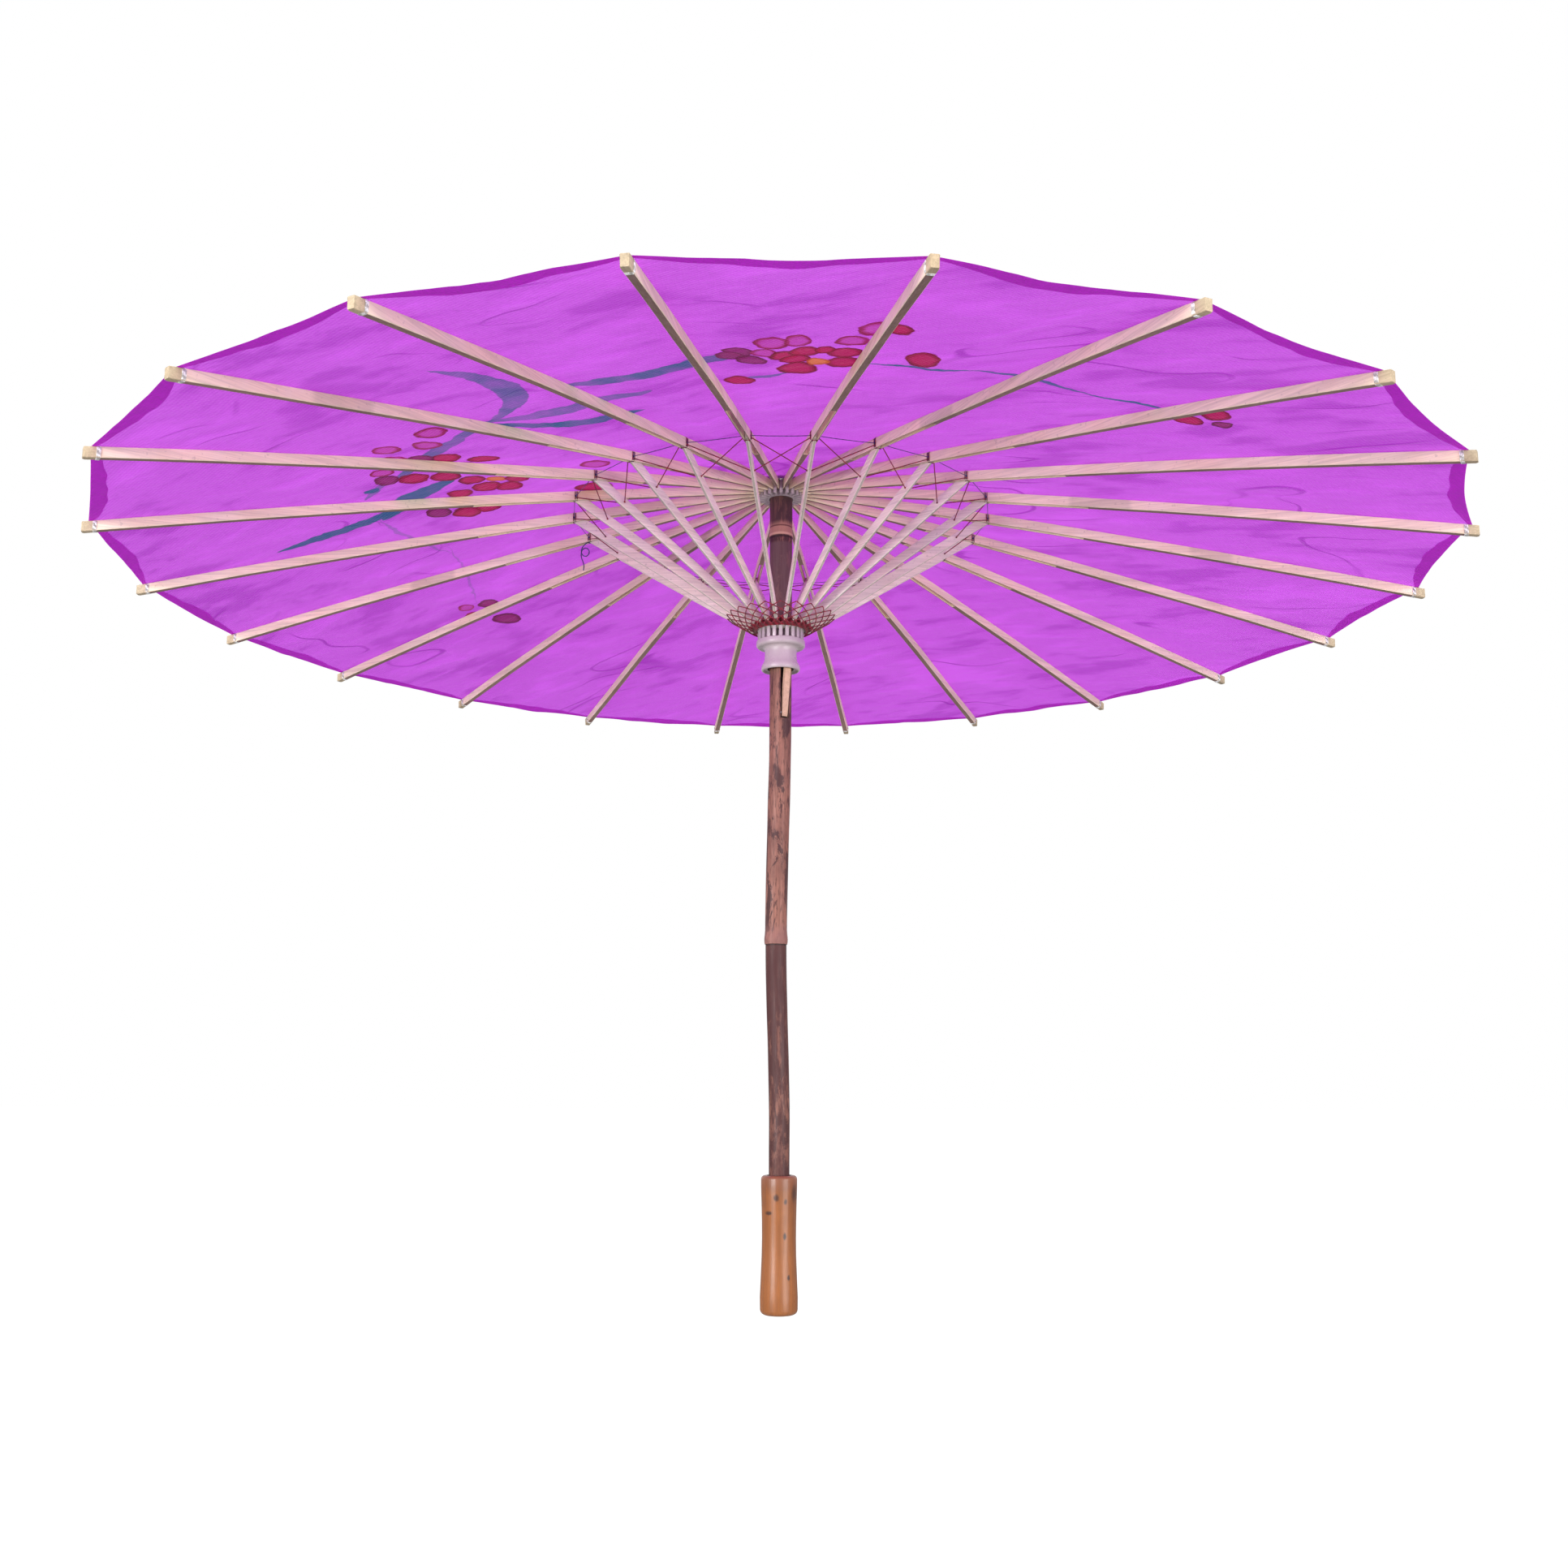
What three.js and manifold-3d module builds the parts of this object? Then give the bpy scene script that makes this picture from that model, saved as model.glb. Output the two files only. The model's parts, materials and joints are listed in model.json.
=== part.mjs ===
// A hand parasol, open: bamboo shaft, turned handle, slotted hub and runner, ribs and stretchers,
// a scalloped fabric canopy and the spring catch that holds the runner up.
// Millimetres, +Z up. The origin is the centre of the handle's bottom face.
import * as THREE from "three";
import Module from "manifold-3d";

const wasm = await Module();
wasm.setup();

// ---- driving dimensions ----
const RIBS = 22;
const STEP = (2 * Math.PI) / RIBS;
const FIRST = -Math.PI / 2 - STEP / 2;
const HUB_Z = 520;
const HUB_R = 12.5;
const RUNNER_Z = HUB_Z - 96.5;
const RUNNER_R = 12.8;
const JOINT_R = 136;
const JOINT_Z = HUB_Z - 18.9;
const TIP_R = 420;
const RIB_SLOPE = 0.1448;
const RIB_SAG = 6.25e-5;
const RIB_HALF_DEPTH = 3;
const RIB_WIDTH = 4.2;
const TONGUE = 1.4;
const STRETCHER_THICK = 2;
const STRETCHER_TONGUE = 1.3;
const STRETCHER_HALF_DEPTH = 3;
const FORK_SLOT = 2.5;
const FORK_START = 102;
const FORK_END = 199;
const THREAD_HOLE_R = 0.6;
const KNOT_OFFSET = 24.5;
const WIRE_R = 0.5;
const WIRE_HOLE_R = 0.85;
const GAP = 0.3;
const BORE_R = 8.6;
const LOWER_NODE_Z = 221;
const UPPER_NODE_Z = 488;
const SHAFT_KINK = 1.6;
const CANOPY_R = 413;
const CANOPY_INNER_R = 17;
const CANOPY_THICK = 0.7;
const SCALLOP = 8;
const CATCH_ANGLE = -Math.PI / 3;
const CATCH_FOOT_Z = HUB_Z - 151;
const CATCH_TOP_Z = HUB_Z - 121.9;

// ---- helpers ----

// height of a rib's middle line at radius r
function ribHeight(r) {
  const run = r - HUB_R;
  return HUB_Z - RIB_SLOPE * run - RIB_SAG * run * run;
}

// a manifold solid from any closed three.js geometry
function solid(geometry) {
  const source = geometry.index ? geometry.toNonIndexed() : geometry;
  const place = source.getAttribute("position");
  const found = new Map();
  const vertices = [];
  const triangles = [];
  for (let i = 0; i < place.count; i += 1) {
    const point = [place.getX(i), place.getY(i), place.getZ(i)];
    const key = point.map((value) => Math.round(value * 1e4)).join(" ");
    if (!found.has(key)) {
      found.set(key, vertices.length / 3);
      vertices.push(...point);
    }
    triangles.push(found.get(key));
  }
  const kept = [];
  for (let i = 0; i < triangles.length; i += 3) {
    const [a, b, c] = triangles.slice(i, i + 3);
    if (a !== b && b !== c && a !== c) {
      kept.push(a, b, c);
    }
  }
  return new wasm.Manifold(
    new wasm.Mesh({
      numProp: 3,
      vertProperties: new Float32Array(vertices),
      triVerts: new Uint32Array(kept),
    }),
  );
}

// back from a manifold solid to a three.js geometry
function surface(body) {
  const mesh = body.getMesh();
  const places = [];
  for (const index of mesh.triVerts) {
    for (let axis = 0; axis < 3; axis += 1) {
      places.push(mesh.vertProperties[index * mesh.numProp + axis]);
    }
  }
  const geometry = new THREE.BufferGeometry();
  geometry.setAttribute("position", new THREE.Float32BufferAttribute(places, 3));
  geometry.computeVertexNormals();
  return geometry;
}

// a body turned about +Z from [radius, height] points that run up the outside and back down
function turned(profile, sides) {
  const points = profile.map(([radius, height]) => new THREE.Vector2(radius, height));
  points.push(points[0].clone());
  return new THREE.LatheGeometry(points, sides).rotateX(Math.PI / 2);
}

// an outline in a radial plane, made `thick` wide across it and turned to `angle`
function radialPlate(outline, thick, angle) {
  const shape = new THREE.Shape(outline.map(([radius, height]) => new THREE.Vector2(radius, height)));
  return new THREE.ExtrudeGeometry(shape, { depth: thick, bevelEnabled: false, steps: 1 })
    .translate(0, 0, -thick / 2)
    .rotateX(Math.PI / 2)
    .rotateZ(angle);
}

// an outline seen from above, made into an upright block between two heights, turned to `angle`
function uprightBlock(outline, low, high, angle) {
  const shape = new THREE.Shape(outline.map(([x, y]) => new THREE.Vector2(x, y)));
  return new THREE.ExtrudeGeometry(shape, { depth: high - low, bevelEnabled: false, steps: 1 })
    .translate(0, 0, low)
    .rotateZ(angle);
}

// a rod across a radial plane, centred on (radius, height)
function crossRod(radius, height, rodRadius, length, angle, sides = 8) {
  return new THREE.CylinderGeometry(rodRadius, rodRadius, length, sides)
    .translate(radius, 0, height)
    .rotateZ(angle);
}

// a closed ring of wire round the axis
function wireRing(ringRadius, height, wireRadius, wireSides) {
  return new THREE.TorusGeometry(ringRadius, wireRadius, wireSides, 2 * RIBS)
    .rotateZ(FIRST)
    .translate(0, 0, height);
}

// points of an arc round (cx, cy), from one angle to another
function arc(cx, cy, radius, from, to, count) {
  const points = [];
  for (let i = 0; i <= count; i += 1) {
    const turn = from + ((to - from) * i) / count;
    points.push([cx + radius * Math.cos(turn), cy + radius * Math.sin(turn)]);
  }
  return points;
}

// a rectangle's corners
function rectangle(x0, y0, x1, y1) {
  return [
    [x0, y0],
    [x1, y0],
    [x1, y1],
    [x0, y1],
  ];
}

// ---- colours ----
const looks = {
  bamboo: { color: 0x8a5a4c, roughness: 0.55, metalness: 0 },
  handle_wood: { color: 0xb06a3a, roughness: 0.4, metalness: 0 },
  pale_bamboo: { color: 0xcdb2b4, roughness: 0.6, metalness: 0 },
  rib_bamboo: { color: 0xd0a6ae, roughness: 0.6, metalness: 0 },
  catch_wood: { color: 0xd8a488, roughness: 0.6, metalness: 0 },
  white_plastic: { color: 0xd9cdd6, roughness: 0.3, metalness: 0 },
  wire: { color: 0x9a9aa0, roughness: 0.35, metalness: 1 },
  violet_fabric: { color: 0xd35fea, roughness: 0.85, metalness: 0 },
  thread: { color: 0x2f3a78, roughness: 0.9, metalness: 0 },
};

const group = new THREE.Group();
group.name = "parasol";

function addPart(name, geometry, look, parent = group) {
  const mesh = new THREE.Mesh(geometry, new THREE.MeshStandardMaterial(looks[look]));
  mesh.name = name;
  parent.add(mesh);
  return mesh;
}

// ---- shaft: a tapering bamboo cane with two ring nodes and a slight kink at the lower one ----
function shaftRadius(z) {
  const taper = 6.6 + (0.9 * (z - 40)) / (HUB_Z - 40);
  const swell = (node, height, spread) => height * Math.exp(-(((z - node) / spread) ** 2));
  return taper + swell(LOWER_NODE_Z - 4, 0.5, 3) + swell(UPPER_NODE_Z, 0.45, 2.5);
}

function shaftShift(z) {
  const half = z < LOWER_NODE_Z ? 110 : 150;
  const away = Math.min(1, Math.abs(z - LOWER_NODE_Z) / half);
  return -SHAFT_KINK * (1 - away * away * (3 - 2 * away));
}

function makeShaft() {
  const low = 60.3;
  const top = HUB_Z + 22;
  const levels = [low, 95, 150, 206, 213, 217, 221, 228, 260, 310, 410, 483, 488, 493, top];
  const cane = turned([[0, low], ...levels.map((z) => [shaftRadius(Math.min(z, HUB_Z)), z]), [0, top]], 22);
  const place = cane.getAttribute("position");
  for (let i = 0; i < place.count; i += 1) {
    place.setX(i, place.getX(i) + shaftShift(place.getZ(i)));
  }
  const slot = uprightBlock(rectangle(1.2, -2.5, 12, 2.5), CATCH_FOOT_Z - 4, CATCH_TOP_Z + 2.5, CATCH_ANGLE);
  const catchHole = crossRod(4.4, CATCH_FOOT_Z, 1, 22, CATCH_ANGLE);
  const pinHole = crossRod(0, HUB_Z + 5.3, 1.1, 40, FIRST + STEP / 2);
  return surface(solid(cane).subtract(solid(slot)).subtract(solid(catchHole)).subtract(solid(pinHole)));
}

// ---- handle: turned wood, waisted, with rounded ends and a blind socket for the shaft ----
function makeHandle() {
  const profile = [
    [0, 0],
    [8.2, 0],
    ...arc(8.2, 3.2, 3.2, -Math.PI / 2, 0, 3).slice(1),
    [11.5, 10],
    [10.9, 24],
    [10.35, 44],
    [11, 74],
    ...arc(8.8, 78.8, 2.2, 0, Math.PI / 2, 3),
    [7.6, 81],
    [7.6, 60],
    [0, 60],
  ];
  return surface(solid(turned(profile, 26)));
}

// ---- the radial slots shared by hub and runner ----
function cutSlots(body, width, innerR, outerR, low, high) {
  let left = body;
  for (let i = 0; i < RIBS; i += 1) {
    const outline = rectangle(innerR, -width / 2, outerR, width / 2);
    left = left.subtract(solid(uprightBlock(outline, low, high, FIRST + i * STEP)));
  }
  return left;
}

// ---- hub: a slotted ring on the shaft, whole above the ribs and open below them ----
function makeHub() {
  const profile = [
    [7.9, HUB_Z - 6],
    [13.9, HUB_Z - 6],
    [14.4, HUB_Z - 5.5],
    [14.4, HUB_Z + 6],
    [13.4, HUB_Z + 7],
    [7.9, HUB_Z + 7],
  ];
  const groove = wireRing(HUB_R, HUB_Z, WIRE_HOLE_R, 6);
  const pinHole = crossRod(0, HUB_Z + 5.3, 1.1, 40, FIRST + STEP / 2);
  const ring = cutSlots(solid(turned(profile, 44)), 2, 9.1, 16, HUB_Z - 8, HUB_Z + 3.6);
  return surface(ring.subtract(solid(groove)).subtract(solid(pinHole)));
}

// ---- runner: slotted crown, rounded collar, waist and a flared foot that rests on the catch ----
function makeRunner() {
  const top = HUB_Z - 92.5;
  const profile = [
    [BORE_R, HUB_Z - 121.5],
    [10.6, HUB_Z - 121.5],
    [11.2, HUB_Z - 123],
    [12.5, HUB_Z - 120.2],
    [10.4, HUB_Z - 114.4],
    [10.3, HUB_Z - 108.2],
    [14.2, HUB_Z - 107.2],
    [15.8, HUB_Z - 105],
    [15.8, HUB_Z - 103],
    [15, HUB_Z - 102.4],
    [15, top],
    [BORE_R, top],
  ];
  const groove = wireRing(RUNNER_R, RUNNER_Z, WIRE_HOLE_R, 6);
  const crown = cutSlots(solid(turned(profile, 44)), 1.9, 9.5, 17, HUB_Z - 102.4, top + 2);
  return surface(crown.subtract(solid(groove)));
}

// ---- rib: a slat on edge, thin where it enters the hub, forked where the stretcher meets it ----
const ribTop = [];
const ribBottom = [];
for (const r of [90, 160, 230, 300, 360, TIP_R]) {
  ribTop.push([r, ribHeight(r) + RIB_HALF_DEPTH]);
  ribBottom.unshift([r, ribHeight(r) - RIB_HALF_DEPTH]);
}
const ribSide = [...arc(HUB_R, HUB_Z, 3, Math.PI / 2, (3 * Math.PI) / 2, 4), ...ribBottom.slice().reverse(), ...ribTop.slice().reverse()];
const ribPlan = [
  [HUB_R - 4, -TONGUE / 2],
  [HUB_R + 7.8, -TONGUE / 2],
  [HUB_R + 9.2, -1.1],
  [HUB_R + 25, -1.15],
  [HUB_R + 100, -2.05],
  [FORK_START + 20, -RIB_WIDTH / 2],
  [TIP_R + 2, -RIB_WIDTH / 2],
];
const ribOutline = [...ribPlan, ...ribPlan.map(([x, y]) => [x, -y]).reverse()];

function makeRib(angle) {
  const side = solid(radialPlate(ribSide, RIB_WIDTH + 2, angle));
  const plan = solid(uprightBlock(ribOutline, HUB_Z - 90, HUB_Z + 10, angle));
  const fork = rectangle(FORK_START, -FORK_SLOT / 2, FORK_END, FORK_SLOT / 2);
  return surface(
    side
      .intersect(plan)
      .subtract(solid(uprightBlock(fork, HUB_Z - 60, HUB_Z, angle)))
      .subtract(solid(crossRod(HUB_R, HUB_Z, WIRE_HOLE_R, 6, angle, 6)))
      .subtract(solid(crossRod(JOINT_R, JOINT_Z, THREAD_HOLE_R, 8, angle, 5))),
  );
}

// ---- stretcher: a thin strip on edge from the runner's wire up to the rib's fork ----
const REACH = Math.hypot(JOINT_R - RUNNER_R, JOINT_Z - RUNNER_Z);
const RISE = Math.atan2(JOINT_Z - RUNNER_Z, JOINT_R - RUNNER_R);

function makeStretcher(angle) {
  const half = STRETCHER_HALF_DEPTH;
  const outline = [
    ...arc(0, 0, half, Math.PI / 2, (3 * Math.PI) / 2, 4),
    ...arc(REACH, 0, half - 0.2, -Math.PI / 2, Math.PI / 2, 4),
  ];
  const turn = (points) =>
    points.map(([x, y]) => [
      RUNNER_R + x * Math.cos(RISE) - y * Math.sin(RISE),
      RUNNER_Z + x * Math.sin(RISE) + y * Math.cos(RISE),
    ]);
  const plan = [
    [0, -STRETCHER_TONGUE / 2],
    [RUNNER_R + 4.4, -STRETCHER_TONGUE / 2],
    [RUNNER_R + 6.4, -STRETCHER_THICK / 2],
    [JOINT_R - 30, -STRETCHER_THICK / 2],
    [JOINT_R - 22, -0.9],
    [JOINT_R + 10, -0.9],
  ];
  const planOutline = [...plan, ...plan.map(([x, y]) => [x, -y]).reverse()];
  const strip = solid(radialPlate(turn(outline), 6, angle));
  const [knot] = turn([[REACH - KNOT_OFFSET, 0]]);
  return surface(
    strip
      .intersect(solid(uprightBlock(planOutline, RUNNER_Z - 20, HUB_Z, angle)))
      .subtract(solid(crossRod(RUNNER_R, RUNNER_Z, WIRE_HOLE_R, 6, angle, 6)))
      .subtract(solid(crossRod(JOINT_R, JOINT_Z, THREAD_HOLE_R, 6, angle, 5)))
      .subtract(solid(crossRod(knot[0], knot[1], THREAD_HOLE_R, 6, angle, 5))),
  );
}

// ---- catch: a strip of cane sprung out of the shaft's slot, under the runner's foot ----
function makeCatch() {
  const outline = [
    [3.2, CATCH_FOOT_Z - 2.6],
    [5.4, CATCH_FOOT_Z - 2.6],
    [9.8, CATCH_TOP_Z - 1.4],
    [9.4, CATCH_TOP_Z],
    [7.4, CATCH_TOP_Z],
  ];
  const strip = solid(radialPlate(outline, 4, CATCH_ANGLE));
  return surface(strip.subtract(solid(crossRod(4.4, CATCH_FOOT_Z, 0.95, 8, CATCH_ANGLE, 8))));
}

// ---- canopy: one thin closed skin over the ribs, straight between them, with a scalloped edge ----
function makeCanopy() {
  const rings = [CANOPY_INNER_R, 60, 120, 190, 260, 320, 370, CANOPY_R];
  const columns = 2 * RIBS;
  const lift = RIB_HALF_DEPTH + GAP;
  const point = (ring, column, above) => {
    const r = rings[ring];
    const onRib = column % 2 === 0;
    const sag = ring === rings.length - 1 ? SCALLOP : 0;
    const reach = onRib ? r : r * Math.cos(STEP / 2) - sag;
    const z = ribHeight(onRib ? r : r - sag) + lift + above;
    const angle = FIRST + (column * STEP) / 2;
    return [reach * Math.cos(angle), reach * Math.sin(angle), z];
  };
  const places = [];
  const face = (a, b, c, d) => places.push(...a, ...b, ...c, ...a, ...c, ...d);
  for (let c = 0; c < columns; c += 1) {
    const next = (c + 1) % columns;
    for (let k = 0; k + 1 < rings.length; k += 1) {
      const high = CANOPY_THICK;
      face(point(k, c, high), point(k + 1, c, high), point(k + 1, next, high), point(k, next, high));
      face(point(k, c, 0), point(k, next, 0), point(k + 1, next, 0), point(k + 1, c, 0));
    }
    const last = rings.length - 1;
    face(point(last, c, 0), point(last, next, 0), point(last, next, CANOPY_THICK), point(last, c, CANOPY_THICK));
    face(point(0, c, 0), point(0, c, CANOPY_THICK), point(0, next, CANOPY_THICK), point(0, next, 0));
  }
  const skin = new THREE.BufferGeometry();
  skin.setAttribute("position", new THREE.Float32BufferAttribute(places, 3));
  return surface(solid(skin));
}

// ---- crown patch: a small cloth cap over the hub, under the top knob ----
function makePatch() {
  const profile = [
    [8.2, HUB_Z + 7.5],
    [15.2, HUB_Z + 7.5],
    [24, HUB_Z + 3.4],
    [24, HUB_Z + 4.2],
    [15.4, HUB_Z + 8.3],
    [8.2, HUB_Z + 8.8],
  ];
  return surface(solid(turned(profile, 22)));
}

// ---- top knob: turned wood with a socket for the shaft's end ----
function makeKnob() {
  const base = HUB_Z + 9.2;
  const profile = [
    [7.9, base],
    [10.2, base],
    [10.8, base + 1.6],
    [10.2, base + 3.4],
    [9.4, base + 5],
    [9.6, base + 9],
    ...arc(0, base + 9.2, 9.6, 0.12, Math.PI / 2, 5).map(([x, z]) => [Math.max(0, x), z]),
    [0, HUB_Z + 22.4],
    [7.9, HUB_Z + 22.4],
  ];
  return surface(solid(turned(profile, 24)));
}

// ---- the loose end of a blue tying thread, hanging from one rib's joint ----
const TAIL_RIB = 16;
const TAIL_ROUTE = [
  [0, 0, -3.6],
  [1.2, 2.7, -4.4],
  [3.2, 3.4, -6.4],
  [4.6, 3.6, -9],
  [4.4, 3.8, -11.8],
  [2.8, 4, -13.8],
  [0.6, 4.2, -14.4],
  [-1.2, 4.4, -13],
  [-1.4, 4.6, -10.8],
  [0, 4.8, -9.2],
  [2, 5, -9],
  [3.6, 5.2, -10.6],
  [4, 5.4, -13.4],
  [3.4, 5.6, -16.2],
  [2.2, 5.8, -19],
  [1.4, 6, -22],
  [1.6, 6.2, -25],
];

function tailPoint([along, across, up]) {
  const angle = FIRST + TAIL_RIB * STEP;
  const r = JOINT_R + along;
  return new THREE.Vector3(
    r * Math.cos(angle) - across * Math.sin(angle),
    r * Math.sin(angle) + across * Math.cos(angle),
    JOINT_Z + up,
  );
}

function makeTail() {
  const route = new THREE.CatmullRomCurve3(TAIL_ROUTE.map(tailPoint));
  const round = new THREE.Shape(arc(0, 0, 0.25, 0, 2 * Math.PI, 5).slice(0, 5).map(([x, y]) => new THREE.Vector2(x, y)));
  const tube = new THREE.ExtrudeGeometry(round, { steps: 40, bevelEnabled: false, extrudePath: route });
  return surface(solid(tube));
}

// ---- assembly ----
addPart("shaft", makeShaft(), "bamboo");
addPart("handle", makeHandle(), "handle_wood");
addPart("hub", makeHub(), "white_plastic");
addPart("hub_wire", surface(solid(wireRing(HUB_R, HUB_Z, WIRE_R, 5))), "wire");
addPart("hub_pin", surface(solid(crossRod(0, HUB_Z + 5.3, 0.8, 27, FIRST + STEP / 2))), "catch_wood");
addPart("runner", makeRunner(), "white_plastic");
addPart("runner_wire", surface(solid(wireRing(RUNNER_R, RUNNER_Z, WIRE_R, 5))), "wire");
addPart("catch", makeCatch(), "catch_wood");
addPart("catch_pin", surface(solid(crossRod(4.4, CATCH_FOOT_Z, 0.65, 10, CATCH_ANGLE, 8))), "wire");
addPart("canopy", makeCanopy(), "violet_fabric");
addPart("crown_patch", makePatch(), "violet_fabric");
addPart("top_knob", makeKnob(), "handle_wood");
addPart("thread_tail", makeTail(), "thread");

for (let i = 0; i < RIBS; i += 1) {
  const angle = FIRST + i * STEP;
  const label = String(i).padStart(2, "0");
  addPart(`rib_${label}`, makeRib(angle), "rib_bamboo");
  addPart(`stretcher_${label}`, makeStretcher(angle), "pale_bamboo");
}

export default group;
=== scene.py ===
"""Looks of a hand parasol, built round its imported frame."""

import json
import math

import bmesh
import bpy
from bpy.props import FloatProperty, FloatVectorProperty, IntProperty, PointerProperty
from mathutils import Matrix, Vector, noise

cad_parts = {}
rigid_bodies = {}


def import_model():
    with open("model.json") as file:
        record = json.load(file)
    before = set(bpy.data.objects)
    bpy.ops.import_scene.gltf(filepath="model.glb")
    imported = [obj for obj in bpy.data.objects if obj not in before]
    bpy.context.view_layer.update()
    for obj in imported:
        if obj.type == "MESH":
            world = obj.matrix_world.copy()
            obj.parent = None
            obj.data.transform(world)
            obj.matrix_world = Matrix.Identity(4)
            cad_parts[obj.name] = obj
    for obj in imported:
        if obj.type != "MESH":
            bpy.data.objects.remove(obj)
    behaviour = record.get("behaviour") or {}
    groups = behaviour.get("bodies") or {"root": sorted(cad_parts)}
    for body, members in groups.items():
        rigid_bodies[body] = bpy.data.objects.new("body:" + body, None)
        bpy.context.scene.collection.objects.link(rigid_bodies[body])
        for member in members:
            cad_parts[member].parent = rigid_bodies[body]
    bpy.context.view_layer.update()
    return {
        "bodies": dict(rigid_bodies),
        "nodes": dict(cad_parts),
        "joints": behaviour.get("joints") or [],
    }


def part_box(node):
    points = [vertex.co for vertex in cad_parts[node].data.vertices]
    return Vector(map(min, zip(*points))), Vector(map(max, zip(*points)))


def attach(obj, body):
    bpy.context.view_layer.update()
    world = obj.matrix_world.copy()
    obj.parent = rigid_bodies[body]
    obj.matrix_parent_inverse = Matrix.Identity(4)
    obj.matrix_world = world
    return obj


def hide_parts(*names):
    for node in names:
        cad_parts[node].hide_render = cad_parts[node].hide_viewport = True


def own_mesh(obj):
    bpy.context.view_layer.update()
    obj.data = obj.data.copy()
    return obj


bl_info = {
    "name": "Hand Parasol",
    "version": (1, 0, 0),
    "blender": (4, 5, 0),
    "location": "3D View > Sidebar > Parasol",
    "description": "Bamboo, cloth, thread and plastic of a painted hand parasol",
    "category": "Object",
}

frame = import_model()
MM = 0.001

# ---- places taken from the frame ----
RIB_NAMES = sorted(name for name in frame["bodies"] if name.startswith("rib_"))
RIBS = len(RIB_NAMES)
STEP = 2 * math.pi / RIBS
HINGES = {joint["name"]: joint for joint in frame["joints"]}
HUB_PIVOT = Vector(HINGES["rib_00_hinge"]["pos_m"])
RUNNER_PIVOT = Vector(HINGES["stretcher_00_hinge"]["pos_m"])
FIRST = math.atan2(HUB_PIVOT.y, HUB_PIVOT.x)
HUB_R = HUB_PIVOT.xy.length
HUB_Z = HUB_PIVOT.z
RUNNER_R = RUNNER_PIVOT.xy.length
RUNNER_Z = RUNNER_PIVOT.z
JOINT_R = 136 * MM
JOINT_Z = HUB_Z - 18.9 * MM
RIB_SLOPE = 0.1448
RIB_SAG = 0.0625
RIB_HALF_DEPTH = 3 * MM
TIP_R = 420 * MM
REACH = math.hypot(JOINT_R - RUNNER_R, JOINT_Z - RUNNER_Z)
RISE = math.atan2(JOINT_Z - RUNNER_Z, JOINT_R - RUNNER_R)
CATCH_ANGLE = math.atan2(*reversed(HINGES["catch_press"]["pos_m"][:2]))
SHAFT_LOW, SHAFT_TOP = (corner.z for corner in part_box("shaft"))
LOWER_NODE_Z = 221 * MM
UPPER_NODE_Z = 488 * MM
SHAFT_KINK = 2.4 * MM


class ParasolSizes(bpy.types.PropertyGroup):
    """Sizes that a maker would change"""

    cloth_radius: FloatProperty(
        name="Cloth radius",
        description="How far the cloth reaches along a rib",
        default=416.5 * MM,
        unit="LENGTH",
    )
    scallop: FloatProperty(
        name="Scallop",
        description="How far the cloth's edge curves in between two ribs",
        default=3.4 * MM,
        unit="LENGTH",
    )
    hem: FloatProperty(
        name="Hem",
        description="Width of the folded hem halfway between two ribs",
        default=8.5 * MM,
        unit="LENGTH",
    )
    thread: FloatProperty(
        name="Thread",
        description="Thickness of the tying thread",
        default=0.55 * MM,
        unit="LENGTH",
    )
    rib_width: FloatProperty(
        name="Rib width",
        description="Width of a rib beyond its fork",
        default=4.1 * MM,
        unit="LENGTH",
    )
    stretcher_thickness: FloatProperty(
        name="Stretcher thickness",
        description="Thickness of a stretcher's strip",
        default=1.9 * MM,
        unit="LENGTH",
    )
    cane_sides: IntProperty(
        name="Cane sides",
        description="Faces round the shaft",
        default=60,
        min=24,
        max=120,
    )


def colour(name, description, value):
    """A colour property with its default."""
    return FloatVectorProperty(
        name=name, description=description, default=value, subtype="COLOR", size=3, min=0, max=1
    )


class ParasolColours(bpy.types.PropertyGroup):
    """Colours that a maker would change"""

    cloth: colour("Cloth", "Dyed cloth", (0.53, 0.085, 0.69))
    # Painted shade: this colour is laid into the cloth where its folds and pleats fall into shade; it is not
    # a darker dye.
    cloth_fold_painted_shade: colour("Cloth fold", "Painted shade in the cloth's folds and pleats", (0.36, 0.03, 0.50))
    bamboo_rib: colour("Rib", "Split sides of the bamboo", (0.93, 0.80, 0.60))
    # Partly painted shade: the ribs' undersides get this darker colour, for bamboo skin and for the shade
    # under the ribs.
    bamboo_skin_and_shade: colour("Rib skin and shade", "Darker skin and painted shade, on the ribs' undersides", (0.30, 0.185, 0.165))
    bamboo_strip: colour("Stretcher", "Thin pale strips", (0.90, 0.80, 0.73))
    cane: colour("Cane", "Shaft", (0.20, 0.088, 0.062))
    cane_scorch: colour("Scorch", "Scorched patches on the shaft", (0.09, 0.035, 0.035))
    handle: colour("Handle", "Varnished handle", (0.265, 0.092, 0.028))
    handle_knot: colour("Knot", "Knots in the handle", (0.035, 0.016, 0.014))
    hem: colour("Hem", "Doubled cloth of the hem", (0.78, 0.03, 0.88))
    tip: colour("Tip", "Pale ends of the ribs", (0.52, 0.42, 0.29))
    plastic: colour("Plastic", "Hub and runner", (0.49, 0.40, 0.425))
    red_thread: colour("Red thread", "Tying thread", (0.20, 0.003, 0.016))
    blue_thread: colour("Blue thread", "Tying thread", (0.03, 0.035, 0.14))
    petal: colour("Petal", "Painted blossoms", (0.40, 0.006, 0.07))
    leaf: colour("Leaf", "Painted leaves and branches", (0.03, 0.085, 0.23))


# ---- where things are ----


def rib_angle(i):
    return FIRST + i * STEP


def rib_height(r):
    """Height of a rib's middle line at radius r."""
    run = r - HUB_R
    return HUB_Z - RIB_SLOPE * run - RIB_SAG * run * run


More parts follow.
